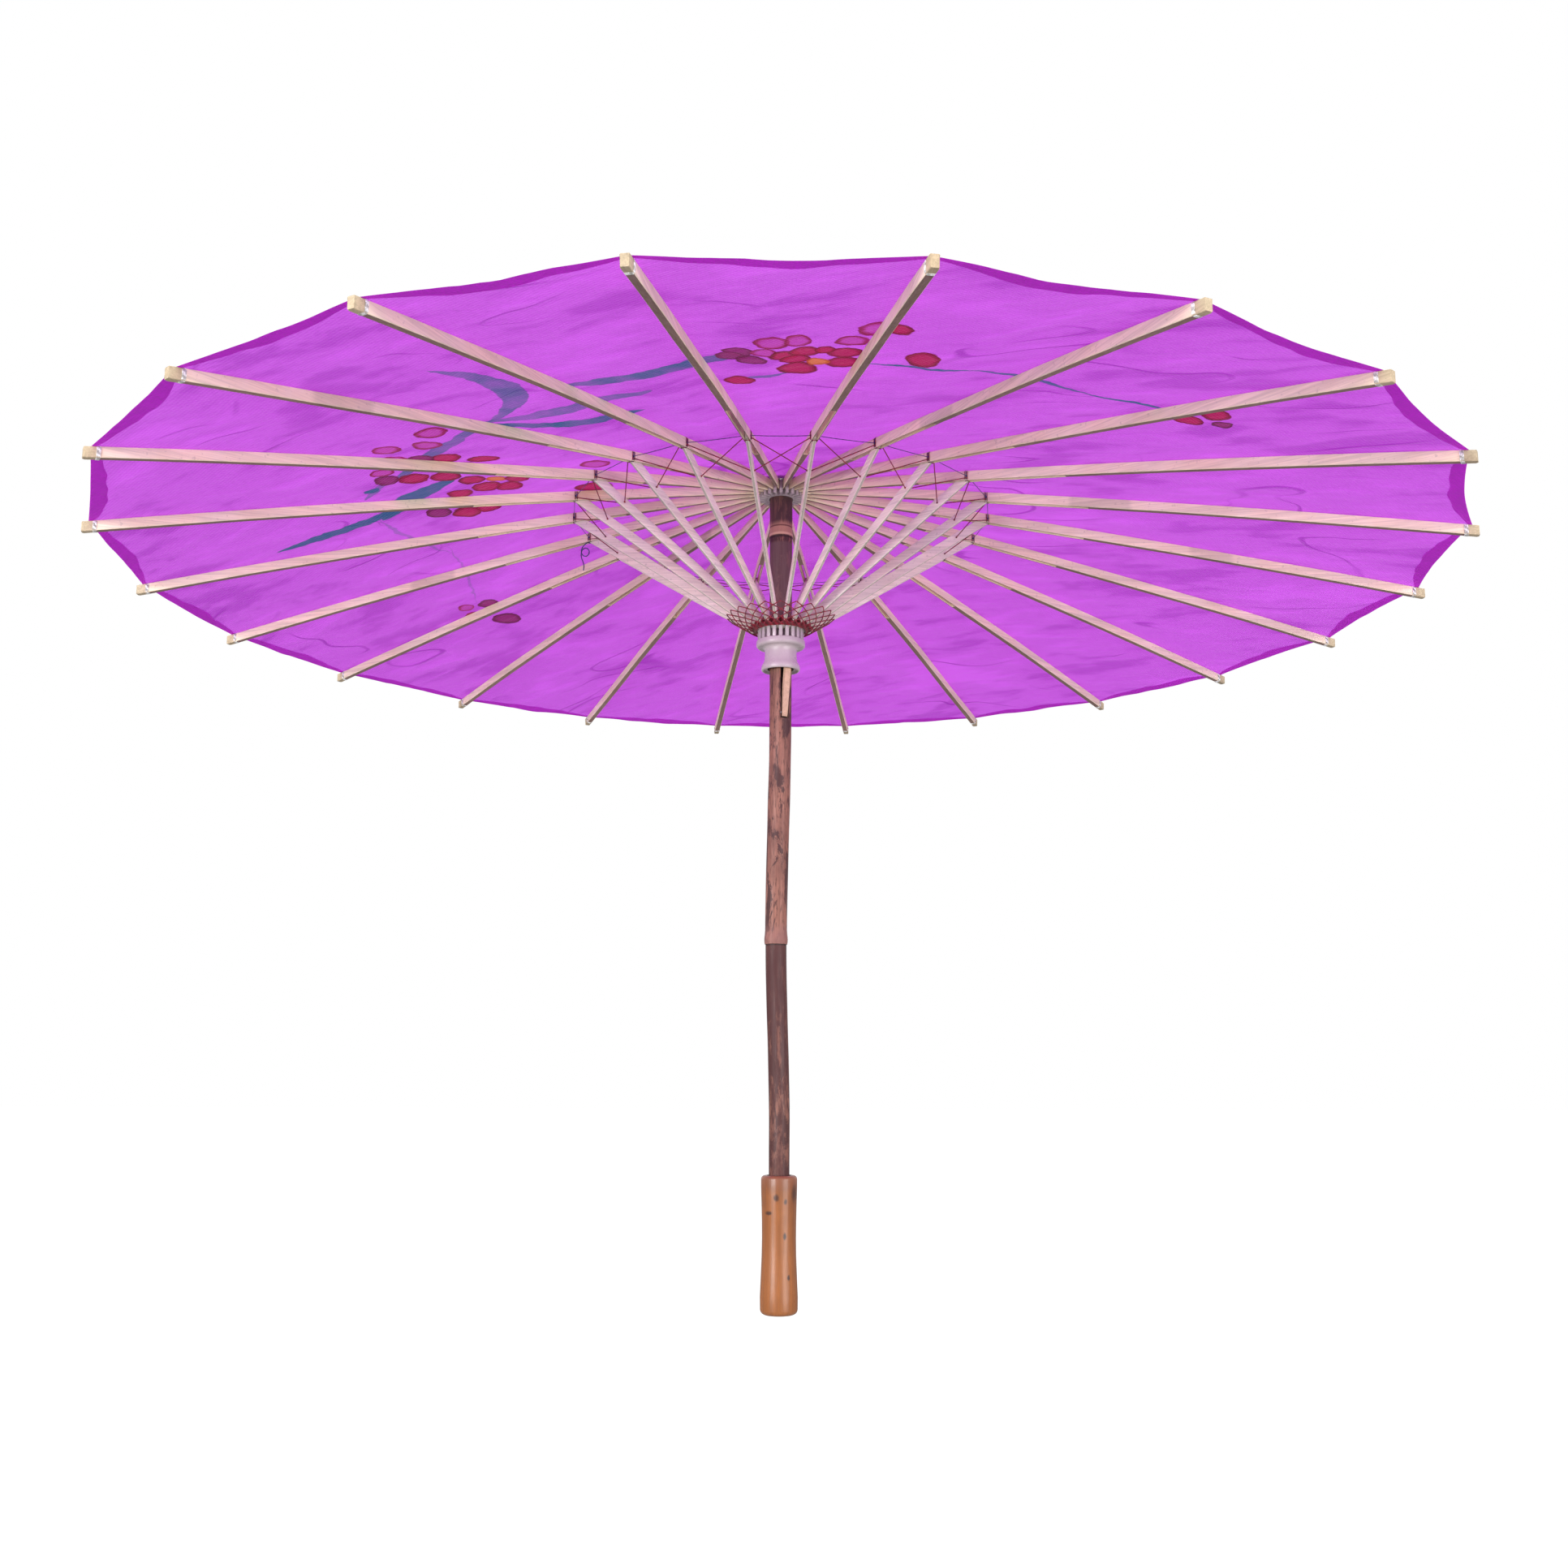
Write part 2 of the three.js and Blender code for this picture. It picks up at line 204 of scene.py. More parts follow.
def on_rib(i, r, up=0.0, across=0.0):
    """A point at radius r on rib i, raised by `up` and moved sideways by `across`."""
    a = rib_angle(i)
    return Vector(
        (
            r * math.cos(a) - across * math.sin(a),
            r * math.sin(a) + across * math.cos(a),
            rib_height(r) + up,
        )
    )


def on_stretcher(i, share, up=0.0, across=0.0):
    """A point at a share of stretcher i's length from its lower pivot."""
    a = rib_angle(i)
    r = RUNNER_R + share * REACH * math.cos(RISE) - up * math.sin(RISE)
    z = RUNNER_Z + share * REACH * math.sin(RISE) + up * math.cos(RISE)
    return Vector((r * math.cos(a) - across * math.sin(a), r * math.sin(a) + across * math.cos(a), z))


def smooth_step(low, high, x):
    t = min(1.0, max(0.0, (x - low) / (high - low)))
    return t * t * (3 - 2 * t)


def wobble(x, y, z=0.0):
    """Smooth, repeatable unevenness between about -1 and 1."""
    return noise.noise(Vector((x, y, z)))


# ---- making pieces ----


def finish_piece(name, bm, material, body, replaces=(), angle=40):
    """Turns a bmesh into a piece that rides on a body."""
    mesh = bpy.data.meshes.new(name)
    bm.to_mesh(mesh)
    bm.free()
    for face in mesh.polygons:
        face.use_smooth = True
    piece = bpy.data.objects.new(name, mesh)
    bpy.context.scene.collection.objects.link(piece)
    for one in material if isinstance(material, (list, tuple)) else [material]:
        mesh.materials.append(one)
    if angle < 180:
        mesh.set_sharp_from_angle(angle=math.radians(angle))
    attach(piece, body)
    if replaces:
        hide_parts(*replaces)
    return piece


def spin_profile(bm, points, sides, close=False):
    """Turns [radius, height] points about the vertical axis, with faces outwards."""
    made = [bm.verts.new((r, 0, z)) for r, z in points]
    edges = [bm.edges.new(pair) for pair in zip(made, made[1:])]
    if close:
        edges.append(bm.edges.new((made[-1], made[0])))
    bmesh.ops.spin(
        bm,
        geom=made + edges,
        cent=(0, 0, 0),
        axis=(0, 0, 1),
        angle=2 * math.pi,
        steps=sides,
        use_merge=True,
    )
    bmesh.ops.remove_doubles(bm, verts=bm.verts, dist=1e-6)
    bmesh.ops.recalc_face_normals(bm, faces=bm.faces)


def arc_points(cx, cy, radius, start, stop, count):
    return [
        (
            cx + radius * math.cos(start + (stop - start) * i / count),
            cy + radius * math.sin(start + (stop - start) * i / count),
        )
        for i in range(count + 1)
    ]


def add_block(bm, size, place):
    """A block of that size, put in place by a matrix."""
    made = bmesh.ops.create_cube(bm, size=1, matrix=Matrix.Diagonal((*size, 1)))["verts"]
    bmesh.ops.transform(bm, matrix=place, verts=made)
    return made


def add_tube(bm, points, radius, sides=6, material=0):
    """A closed round tube through points, swept from a circle by extrusion."""
    points = [Vector(p) for p in points]
    ways = []
    for i in range(len(points)):
        before = points[max(0, i - 1)]
        after = points[min(len(points) - 1, i + 1)]
        ways.append((after - before).normalized())
    turn = Vector((0, 0, 1)).rotation_difference(ways[0])
    made = bmesh.ops.create_circle(bm, cap_ends=True, radius=radius, segments=sides)["verts"]
    cap = made[0].link_faces[0]
    start = Matrix.Translation(points[0]) @ turn.to_matrix().to_4x4()
    bmesh.ops.transform(bm, matrix=start, verts=made)
    faces = [cap]
    front = cap
    for i in range(1, len(points)):
        result = bmesh.ops.extrude_face_region(bm, geom=[front], use_keep_orig=i == 1)
        moved = [g for g in result["geom"] if isinstance(g, bmesh.types.BMVert)]
        last, front = front, next(g for g in result["geom"] if isinstance(g, bmesh.types.BMFace))
        if i > 1:
            bmesh.ops.delete(bm, geom=[last], context="FACES_ONLY")
        bend = ways[i - 1].rotation_difference(ways[i]).to_matrix().to_4x4()
        shift = Matrix.Translation(points[i]) @ bend @ Matrix.Translation(-points[i - 1])
        bmesh.ops.transform(bm, matrix=shift, verts=moved)
        for vert in moved:
            faces.extend(vert.link_faces)
    around = {face for face in faces if face.is_valid}
    bmesh.ops.recalc_face_normals(bm, faces=list(around))
    for face in around:
        face.material_index = material


# ---- node helpers ----


class Tree:
    """A thin way to write a node tree: each call adds a node and returns it."""

    def __init__(self, tree):
        self.tree = tree

    def add(self, kind, **settings):
        inputs = settings.pop("inputs", {})
        node = self.tree.nodes.new(kind)
        for key, value in settings.items():
            setattr(node, key, value)
        for key, value in inputs.items():
            self.put(node.inputs[key], value)
        return node

    def put(self, socket, value):
        if isinstance(value, bpy.types.NodeSocket):
            self.tree.links.new(value, socket)
        elif socket.type == "RGBA" and len(value) == 3:
            socket.default_value = (*value, 1)
        else:
            socket.default_value = value

    def math(self, operation, a, b=0.0, c=0.0, clamp=False):
        node = self.add("ShaderNodeMath", operation=operation, use_clamp=clamp, inputs={0: a, 1: b, 2: c})
        return node.outputs[0]

    def ramp(self, value, low, high, start=0.0, stop=1.0):
        """Smoothly maps value from low..high to start..stop."""
        node = self.add(
            "ShaderNodeMapRange",
            interpolation_type="SMOOTHSTEP",
            inputs={"Value": value, "From Min": low, "From Max": high, "To Min": start, "To Max": stop},
        )
        return node.outputs["Result"]

    def mix(self, share, a, b, blend="MIX"):
        node = self.add("ShaderNodeMix", data_type="RGBA", blend_type=blend)
        self.put(node.inputs[0], share)
        self.put(node.inputs[6], a)
        self.put(node.inputs[7], b)
        return node.outputs[2]

    def noise(self, vector, scale, detail=3.0, rough=0.55, distortion=0.0):
        node = self.add(
            "ShaderNodeTexNoise",
            inputs={
                "Vector": vector,
                "Scale": scale,
                "Detail": detail,
                "Roughness": rough,
                "Distortion": distortion,
            },
        )
        return node.outputs["Fac"]

    def mapping(self, vector, scale=(1, 1, 1), rotation=(0, 0, 0), location=(0, 0, 0)):
        node = self.add(
            "ShaderNodeMapping",
            inputs={"Vector": vector, "Scale": scale, "Rotation": rotation, "Location": location},
        )
        return node.outputs["Vector"]

    def place(self):
        return self.add("ShaderNodeTexCoord").outputs["Object"]

    def group(self, shared, **inputs):
        node = self.add("ShaderNodeGroup", node_tree=shared)
        for key, value in inputs.items():
            self.put(node.inputs[key.replace("_", " ")], value)
        return node.outputs


def shared_group(name, inputs, outputs):
    """An empty node group with named sockets."""
    tree = bpy.data.node_groups.new(name, "ShaderNodeTree")
    for label, kind, default in inputs:
        socket = tree.interface.new_socket(label, in_out="INPUT", socket_type=kind)
        if default is not None:
            socket.default_value = default
    for label, kind in outputs:
        tree.interface.new_socket(label, in_out="OUTPUT", socket_type=kind)
    return tree, tree.nodes.new("NodeGroupInput").outputs, tree.nodes.new("NodeGroupOutput").inputs


FLOAT, VECTOR, COLOUR = "NodeSocketFloat", "NodeSocketVector", "NodeSocketColor"


def fibre_group():
    """Long fibres and pores of split bamboo or wood: Along runs with the grain."""
    found = bpy.data.node_groups.get("Fibre grain")
    if found:
        return found
    tree, given, out = shared_group(
        "Fibre grain",
        [("Vector", VECTOR, None), ("Fineness", FLOAT, 900.0), ("Patches", FLOAT, 25.0)],
        [("Fibre", FLOAT), ("Patch", FLOAT), ("Height", FLOAT)],
    )
    t = Tree(tree)
    fine = t.noise(given["Vector"], given["Fineness"], 4.0, 0.6)
    coarse = t.noise(given["Vector"], t.math("MULTIPLY", given["Fineness"], 0.28), 3.0, 0.55, 0.4)
    fibre = t.math("ADD", t.math("MULTIPLY", fine, 0.55), t.math("MULTIPLY", coarse, 0.45))
    t.put(out["Fibre"], t.ramp(fibre, 0.32, 0.68))
    t.put(out["Patch"], t.ramp(t.noise(given["Vector"], given["Patches"], 3.0, 0.6, 0.5), 0.35, 0.7))
    t.put(out["Height"], fibre)
    return tree


def wear_group():
    """Soft large and small unevenness of colour, for handled surfaces."""
    found = bpy.data.node_groups.get("Uneven tone")
    if found:
        return found
    tree, given, out = shared_group(
        "Uneven tone",
        [("Vector", VECTOR, None), ("Scale", FLOAT, 60.0)],
        [("Tone", FLOAT), ("Speck", FLOAT)],
    )
    t = Tree(tree)
    t.put(out["Tone"], t.ramp(t.noise(given["Vector"], given["Scale"], 4.0, 0.6), 0.3, 0.7))
    fine = t.noise(given["Vector"], t.math("MULTIPLY", given["Scale"], 14.0), 2.0)
    t.put(out["Speck"], t.ramp(fine, 0.62, 0.74))
    return tree


def weave_group():
    """Crossing threads of thin cloth, with slubs along both ways."""
    found = bpy.data.node_groups.get("Cloth weave")
    if found:
        return found
    tree, given, out = shared_group(
        "Cloth weave",
        [("Vector", VECTOR, None), ("Threads", FLOAT, 1800.0)],
        [("Slub", FLOAT), ("Height", FLOAT)],
    )
    t = Tree(tree)
    warp = t.noise(t.mapping(given["Vector"], (22, 500, 1)), 3.0, 3.0, 0.6)
    weft = t.noise(t.mapping(given["Vector"], (500, 22, 1)), 3.0, 3.0, 0.6)
    slub = t.math("MULTIPLY", t.math("ADD", warp, weft), 0.5)
    t.put(out["Slub"], t.ramp(slub, 0.36, 0.64))
    parts = t.add("ShaderNodeSeparateXYZ", inputs={0: given["Vector"]}).outputs
    ups = [t.math("SINE", t.math("MULTIPLY", parts[axis], given["Threads"])) for axis in (0, 1)]
    t.put(out["Height"], t.math("ADD", t.math("MULTIPLY", ups[0], ups[1]), t.math("MULTIPLY", slub, 3.0)))
    return tree


def fold_group():
    """Soft folds and thin pressed pleats of cloth that has been kept rolled up. Shade and Pleat are painted
    shade in the folds and along the pleats, Shine is a painted highlight on the folds, Height is their
    relief.
    """
    found = bpy.data.node_groups.get("Cloth folds")
    if found:
        return found
    tree, given, out = shared_group(
        "Cloth folds",
        [("Vector", VECTOR, None), ("Turn", FLOAT, 0.5)],
        [("Shade", FLOAT), ("Shine", FLOAT), ("Pleat", FLOAT), ("Height", FLOAT)],
    )
    t = Tree(tree)
    turned = t.add(
        "ShaderNodeVectorRotate",
        rotation_type="Z_AXIS",
        inputs={"Vector": given["Vector"], "Angle": given["Turn"]},
    ).outputs[0]
    broad = t.noise(t.mapping(turned, (1, 2.3, 1)), 7.5, 4.0, 0.5, 0.4)
    fine = t.noise(t.mapping(turned, (1, 3.0, 1), (0, 0, 0.5)), 24.0, 3.0, 0.5, 0.3)
    mixed = t.math("ADD", t.math("MULTIPLY", broad, 0.6), t.math("MULTIPLY", fine, 0.4))
    # Shade is painted shade in the folds; Shine is a painted highlight on them.
    t.put(out["Shade"], t.ramp(mixed, 0.51, 0.61))
    t.put(out["Shine"], t.ramp(mixed, 0.48, 0.37))
    lines = t.noise(t.mapping(turned, (1, 2.4, 1), (0, 0, -0.5)), 7.0, 1.0, 0.4, 0.7)
    line = t.math("ABSOLUTE", t.math("SUBTRACT", lines, 0.5))
    kept = t.ramp(t.noise(given["Vector"], 9.0, 2.0), 0.5, 0.62)
    # The pleat lines are darkened in the cloth as painted shade and pressed in as relief.
    pleat = t.math("MULTIPLY", t.ramp(line, 0.011, 0.002), kept)
    t.put(out["Pleat"], pleat)
    t.put(out["Height"], t.math("SUBTRACT", t.math("MULTIPLY", mixed, 6.0), t.math("MULTIPLY", pleat, 0.8)))
    return tree


def shake_group():
    """Moves a place a little and unevenly, so that painted edges are not perfect."""
    found = bpy.data.node_groups.get("Unsteady edge")
    if found:
        return found
    tree, given, out = shared_group("Unsteady edge", [("Vector", VECTOR, None)], [("Vector", VECTOR)])
    t = Tree(tree)
    shake = t.add("ShaderNodeTexNoise", inputs={"Vector": given["Vector"], "Scale": 95.0, "Detail": 3.0})
    small = t.mapping(shake.outputs["Color"], (0.006,) * 3, (0, 0, 0), (-0.003, -0.003, 0))
    moved = t.add("ShaderNodeVectorMath", operation="ADD", inputs={0: given["Vector"], 1: small})
    t.put(out["Vector"], moved.outputs[0])
    return tree


def dab_group():
    """One brush dab, an uneven oval: how much paint, and how strong its darker rim is."""
    found = bpy.data.node_groups.get("Brush dab")
    if found:
        return found
    tree, given, out = shared_group(
        "Brush dab",
        [
            ("Vector", VECTOR, None),
            ("Centre", VECTOR, (0, 0, 0)),
            ("Turn", FLOAT, 0.0),
            ("Half length", FLOAT, 0.01),
            ("Half width", FLOAT, 0.006),
        ],
        [("Paint", FLOAT), ("Rim", FLOAT)],
    )
    t = Tree(tree)
    away = t.add(
        "ShaderNodeVectorMath",
        operation="SUBTRACT",
        inputs={0: given["Vector"], 1: given["Centre"]},
    )
    turned = t.add(
        "ShaderNodeVectorRotate",
        rotation_type="Z_AXIS",
        inputs={"Vector": away.outputs[0], "Angle": given["Turn"]},
    )
    parts = t.add("ShaderNodeSeparateXYZ", inputs={0: turned.outputs[0]}).outputs
    along = t.math("DIVIDE", parts[0], given["Half length"])
    across = t.math("DIVIDE", parts[1], given["Half width"])
    squared = t.math("ADD", t.math("MULTIPLY", along, along), t.math("MULTIPLY", across, across))
    far = t.math("SQRT", squared)
    t.put(out["Paint"], t.ramp(far, 1.03, 0.93))
    t.put(out["Rim"], t.ramp(far, 0.5, 0.97))
    return tree


def stroke_group():
    """One brush stroke along a bent line: wide in the middle and pointed at both ends."""
    found = bpy.data.node_groups.get("Brush stroke")
    if found:
        return found
    tree, given, out = shared_group(
        "Brush stroke",
        [
            ("Vector", VECTOR, None),
            ("Start", VECTOR, (0, 0, 0)),
            ("Turn", FLOAT, 0.0),
            ("Length", FLOAT, 0.1),
            ("Bend", FLOAT, 0.0),
            ("Half width", FLOAT, 0.004),
        ],
        [("Paint", FLOAT), ("Share", FLOAT)],
    )
    t = Tree(tree)
    away = t.add("ShaderNodeVectorMath", operation="SUBTRACT", inputs={0: given["Vector"], 1: given["Start"]})
    turned = t.add(
        "ShaderNodeVectorRotate",
        rotation_type="Z_AXIS",
        inputs={"Vector": away.outputs[0], "Angle": given["Turn"]},
    )
    parts = t.add("ShaderNodeSeparateXYZ", inputs={0: turned.outputs[0]}).outputs
    share = t.math("DIVIDE", parts[0], given["Length"])
    arch = t.math("MULTIPLY", t.math("MULTIPLY", share, t.math("SUBTRACT", 1.0, share)), 4.0)
    middle = t.math("MULTIPLY", arch, given["Bend"])
    width = t.math("MULTIPLY", t.math("POWER", t.math("MAXIMUM", arch, 0.0), 0.6), given["Half width"])
    off = t.math("ABSOLUTE", t.math("SUBTRACT", parts[1], middle))
    inside = t.math("SUBTRACT", width, off)
    t.put(out["Paint"], t.ramp(inside, -0.0002, 0.0009))
    t.put(out["Share"], share)
    return tree


def new_material(name):
    """An emptied material with its output, as (material, Tree, output node)."""
    material = bpy.data.materials.new(name)
    material.use_nodes = True
    material.node_tree.nodes.clear()
    t = Tree(material.node_tree)
    return material, t, t.add("ShaderNodeOutputMaterial")


def principled(t, out, **inputs):
    node = t.add("ShaderNodeBsdfPrincipled", inputs={k.replace("_", " "): v for k, v in inputs.items()})
    t.put(out.inputs["Surface"], node.outputs[0])
    return node


def bump(t, height, strength, distance):
    return t.add(
        "ShaderNodeBump", inputs={"Height": height, "Strength": strength, "Distance": distance}
    ).outputs[0]


def colours():
    return bpy.context.scene.parasol_colours


def sizes():
    return bpy.context.scene.parasol_sizes


def bright(value, share):
    """A colour made lighter or darker."""
    return tuple(min(1.0, c * share) for c in value)


def slat_group():
    """Split bamboo: grain along X once turned, soft mottling, specks and faint rings across it."""
    found = bpy.data.node_groups.get("Split bamboo")
    if found:
        return found
    tree, given, out = shared_group(
        "Split bamboo",
        [
            ("Vector", VECTOR, None),
            ("Turn", FLOAT, 0.0),
            ("Offset", FLOAT, 0.0),
            ("Colour", COLOUR, (0.8, 0.6, 0.5, 1)),
            ("Rings", FLOAT, 1.0),
        ],
        [("Colour", COLOUR), ("Roughness", FLOAT), ("Height", FLOAT)],
    )
    t = Tree(tree)
    turned = t.add(
        "ShaderNodeVectorRotate",
        rotation_type="Z_AXIS",
        inputs={"Vector": given["Vector"], "Angle": given["Turn"]},
    ).outputs[0]
    apart = t.add("ShaderNodeCombineXYZ", inputs={0: given["Offset"], 1: given["Offset"], 2: 0.0}).outputs[0]
    moved = t.add("ShaderNodeVectorMath", operation="ADD", inputs={0: turned, 1: apart}).outputs[0]
    grain = t.group(fibre_group(), Vector=t.mapping(moved, (0.035, 1, 1)), Fineness=1300.0, Patches=40.0)
    tone = t.group(wear_group(), Vector=moved, Scale=32.0)
    shade = t.math("SUBTRACT", 1.19, t.math("MULTIPLY", grain["Fibre"], 0.34))
    shade = t.math("MULTIPLY", shade, t.math("SUBTRACT", 1.0, t.math("MULTIPLY", grain["Patch"], 0.16)))
    ring = t.ramp(t.noise(t.mapping(moved, (9, 0.02, 0.02)), 1.0, 0.0), 0.7, 0.72)
    ring = t.math("MULTIPLY", ring, given["Rings"])
    shade = t.math("MULTIPLY", shade, t.math("SUBTRACT", 1.0, t.math("MULTIPLY", ring, 0.2)))
    shade = t.math("MULTIPLY", shade, t.math("SUBTRACT", 1.0, t.math("MULTIPLY", tone["Speck"], 0.18)))
    warm = t.mix(t.math("MULTIPLY", tone["Tone"], 0.4), (1, 1, 1), (1, 0.84, 0.72))
    tinted = t.mix(1.0, given["Colour"], warm, "MULTIPLY")
    t.put(out["Colour"], t.mix(1.0, tinted, shade, "MULTIPLY"))
    t.put(out["Roughness"], t.math("ADD", 0.48, t.math("MULTIPLY", grain["Fibre"], 0.2)))
    t.put(out["Height"], grain["Height"])
    return tree


def slat_material(name, base, i, rings=1.0):
    """Split bamboo, its grain running along rib or stretcher i."""
    material, t, out = new_material(name)
    slat = t.group(
        slat_group(), Vector=t.place(), Turn=-rib_angle(i), Offset=0.37 * i, Colour=tuple(base), Rings=rings
    )
    principled(
        t,
        out,
        Base_Color=slat["Colour"],
        Roughness=slat["Roughness"],
        Specular_IOR_Level=0.35,
        Normal=bump(t, slat["Height"], 0.35, 0.0004),
    )
    return material


def cane_material():
    """Varnished bamboo cane with scorch marks, dark nodes and grooves, and painted shade below the upper
    node.
    """
    material, t, out = new_material("Scorched cane")
    c = colours()
    place = t.place()
    stretched = t.mapping(place, (1, 1, 0.06))
    grain = t.group(fibre_group(), Vector=stretched, Fineness=1100.0, Patches=70.0)
    tone = t.group(wear_group(), Vector=place, Scale=55.0)
    height = t.add("ShaderNodeSeparateXYZ", inputs={0: place}).outputs[2]
    blotch = t.ramp(t.noise(t.mapping(place, (1, 1, 0.3)), 110.0, 6.0, 0.75, 0.4), 0.48, 0.54)
    low = t.ramp(height, LOWER_NODE_Z + 0.0002, LOWER_NODE_Z - 0.0006)
    faded = t.ramp(height, LOWER_NODE_Z - 0.025, LOWER_NODE_Z - 0.09, 1.0, 0.42)
    base = t.mix(t.math("MULTIPLY", grain["Fibre"], 0.75), bright(c.cane, 1.8), bright(c.cane, 0.6))
    base = t.mix(t.math("MULTIPLY", grain["Patch"], 0.6), base, (0.32, 0.13, 0.085))
    fleck = t.ramp(t.noise(t.mapping(place, (1, 1, 0.16)), 900.0, 2.0), 0.56, 0.66)
    base = t.mix(t.math("MULTIPLY", fleck, 0.6), base, bright(c.cane, 0.35))
    base = t.mix(t.math("MULTIPLY", tone["Tone"], 0.55), base, (0.125, 0.05, 0.042))
    scorch_and_shade = t.mix(t.math("MULTIPLY", blotch, 0.9), base, bright(c.cane_scorch, 0.6))
    dark = t.math("MULTIPLY", low, faded)
    streak = t.ramp(t.noise(t.mapping(place, (1, 1, 0.22)), 190.0, 4.0, 0.7), 0.4, 0.62, 0.0, 0.7)
    patchy = t.ramp(t.math("ADD", streak, dark), 0.35, 1.25, 0.25, 0.95)
    scorch_and_shade = t.mix(t.math("MULTIPLY", low, patchy), scorch_and_shade, (0.07, 0.023, 0.022))
    near_node = t.ramp(height, LOWER_NODE_Z + 0.016, LOWER_NODE_Z + 0.004)
    pale_low = t.math("MULTIPLY", near_node, t.math("SUBTRACT", 1.0, low))
    scorch_and_shade = t.mix(t.math("MULTIPLY", pale_low, 0.6), scorch_and_shade, (0.29, 0.135, 0.115))
    top = UPPER_NODE_Z
    above = t.ramp(height, top + 0.006, top + 0.011)
    above = t.math("MULTIPLY", above, t.ramp(grain["Fibre"], 0.2, 0.8, 0.55, 0.95))
    scorch_and_shade = t.mix(above, scorch_and_shade, (0.075, 0.04, 0.035))
    band = t.math("MULTIPLY", t.ramp(height, top - 0.0005, top), t.ramp(height, top + 0.0105, top + 0.005))
    scorch_and_shade = t.mix(t.math("MULTIPLY", band, 0.75), scorch_and_shade, (0.56, 0.30, 0.19))
    # Painted shade: the cane is darkened below the upper node, where it lies in shade.
    under = t.math(
        "MULTIPLY",
        t.ramp(height, top - 0.0035, top - 0.006),
        t.ramp(height, top - 0.085, top - 0.05),
    )
    under = t.math("MULTIPLY", under, t.ramp(grain["Fibre"], 0.1, 0.9, 0.6, 0.95))
    scorch_and_shade = t.mix(under, scorch_and_shade, (0.15, 0.088, 0.078))
    for line_z, wide, tint in (
        (LOWER_NODE_Z - 0.0004, 0.0006, (0.02, 0.008, 0.01)),
        (top - 0.0012, 0.0009, (0.03, 0.012, 0.01)),
        (top + 0.0008, 0.0010, (0.66, 0.42, 0.27)),
        (top + 0.0062, 0.0007, (0.12, 0.05, 0.035)),
    ):
        away = t.math("ABSOLUTE", t.math("SUBTRACT", height, line_z))
        scorch_and_shade = t.mix(t.math("MULTIPLY", t.ramp(away, wide, wide * 0.4), 0.85), scorch_and_shade, tint)
    principled(
        t,
        out,
        Base_Color=scorch_and_shade,
        Roughness=t.math("ADD", 0.42, t.math("MULTIPLY", grain["Fibre"], 0.25)),
        Specular_IOR_Level=0.3,
        Normal=bump(t, grain["Height"], 0.5, 0.0005),
    )
    return material


def handle_material():
    """Varnished straight-grained wood with a few dark knots and pale rounded ends."""
    material, t, out = new_material("Handle wood")
    c = colours()
    place = t.place()
    grain = t.group(fibre_group(), Vector=t.mapping(place, (1, 1, 0.05)), Fineness=900.0, Patches=45.0)
    tone = t.group(wear_group(), Vector=place, Scale=45.0)
    base = t.mix(t.math("MULTIPLY", grain["Fibre"], 0.6), bright(c.handle, 1.25), bright(c.handle, 0.55))
    base = t.mix(t.math("MULTIPLY", grain["Patch"], 0.4), base, bright(c.handle, 1.55))
    base = t.mix(t.math("MULTIPLY", tone["Tone"], 0.25), base, bright(c.handle, 0.55))
    # knots: across, height, half width and half height in millimetres
    knots = (
        (-1.7, 68.4, 1.5, 1.9),
        (4, 66, 1, 1.6),
        (-6.4, 59.6, 2, 1.2),
        (3.4, 46, 0.8, 1.8),
        (6, 22.4, 0.9, 1.6),
        (9.4, 71, 2, 6),
    )
    shake = t.add("ShaderNodeTexNoise", inputs={"Vector": place, "Scale": 300.0}).outputs["Color"]
    warped = t.add(
        "ShaderNodeVectorMath",
        operation="ADD",
        inputs={0: place, 1: t.mapping(shake, (0.0016,) * 3)},
    ).outputs[0]
    for x, z, half_x, half_z in knots:
        nudge = (-(x + 0.8) * MM, 0.011, -(z + 0.8) * MM)
        moved = t.add("ShaderNodeVectorMath", operation="ADD", inputs={0: warped, 1: nudge}).outputs[0]
        scaled = t.mapping(moved, (1 / (half_x * MM), 90, 1 / (half_z * MM)))
        far = t.add("ShaderNodeVectorMath", operation="LENGTH", inputs={0: scaled}).outputs[1]
        base = t.mix(t.math("MULTIPLY", t.ramp(far, 1.5, 0.5), 0.92), base, c.handle_knot)
    height = t.add("ShaderNodeSeparateXYZ", inputs={0: place}).outputs[2]
    red_end = t.math("MULTIPLY", t.ramp(height, 0.07, 0.084), t.ramp(height, 0.2, 0.1))
    base = t.mix(t.math("MULTIPLY", red_end, 0.55), base, (0.30, 0.10, 0.07))
    upper_half = t.math("MULTIPLY", t.ramp(height, 0.045, 0.078), t.ramp(height, 0.2, 0.1))
    worn = t.math("MULTIPLY", upper_half, t.math("MULTIPLY", tone["Tone"], 0.6))
    base = t.mix(worn, base, (0.16, 0.06, 0.03))
    principled(
        t,
        out,
        Base_Color=base,
        Roughness=t.math("ADD", 0.24, t.math("MULTIPLY", grain["Fibre"], 0.16)),
        Specular_IOR_Level=0.4,
        Coat_Weight=0.15,
        Coat_Roughness=0.2,
        Normal=bump(t, grain["Height"], 0.35, 0.0005),
    )
    return material


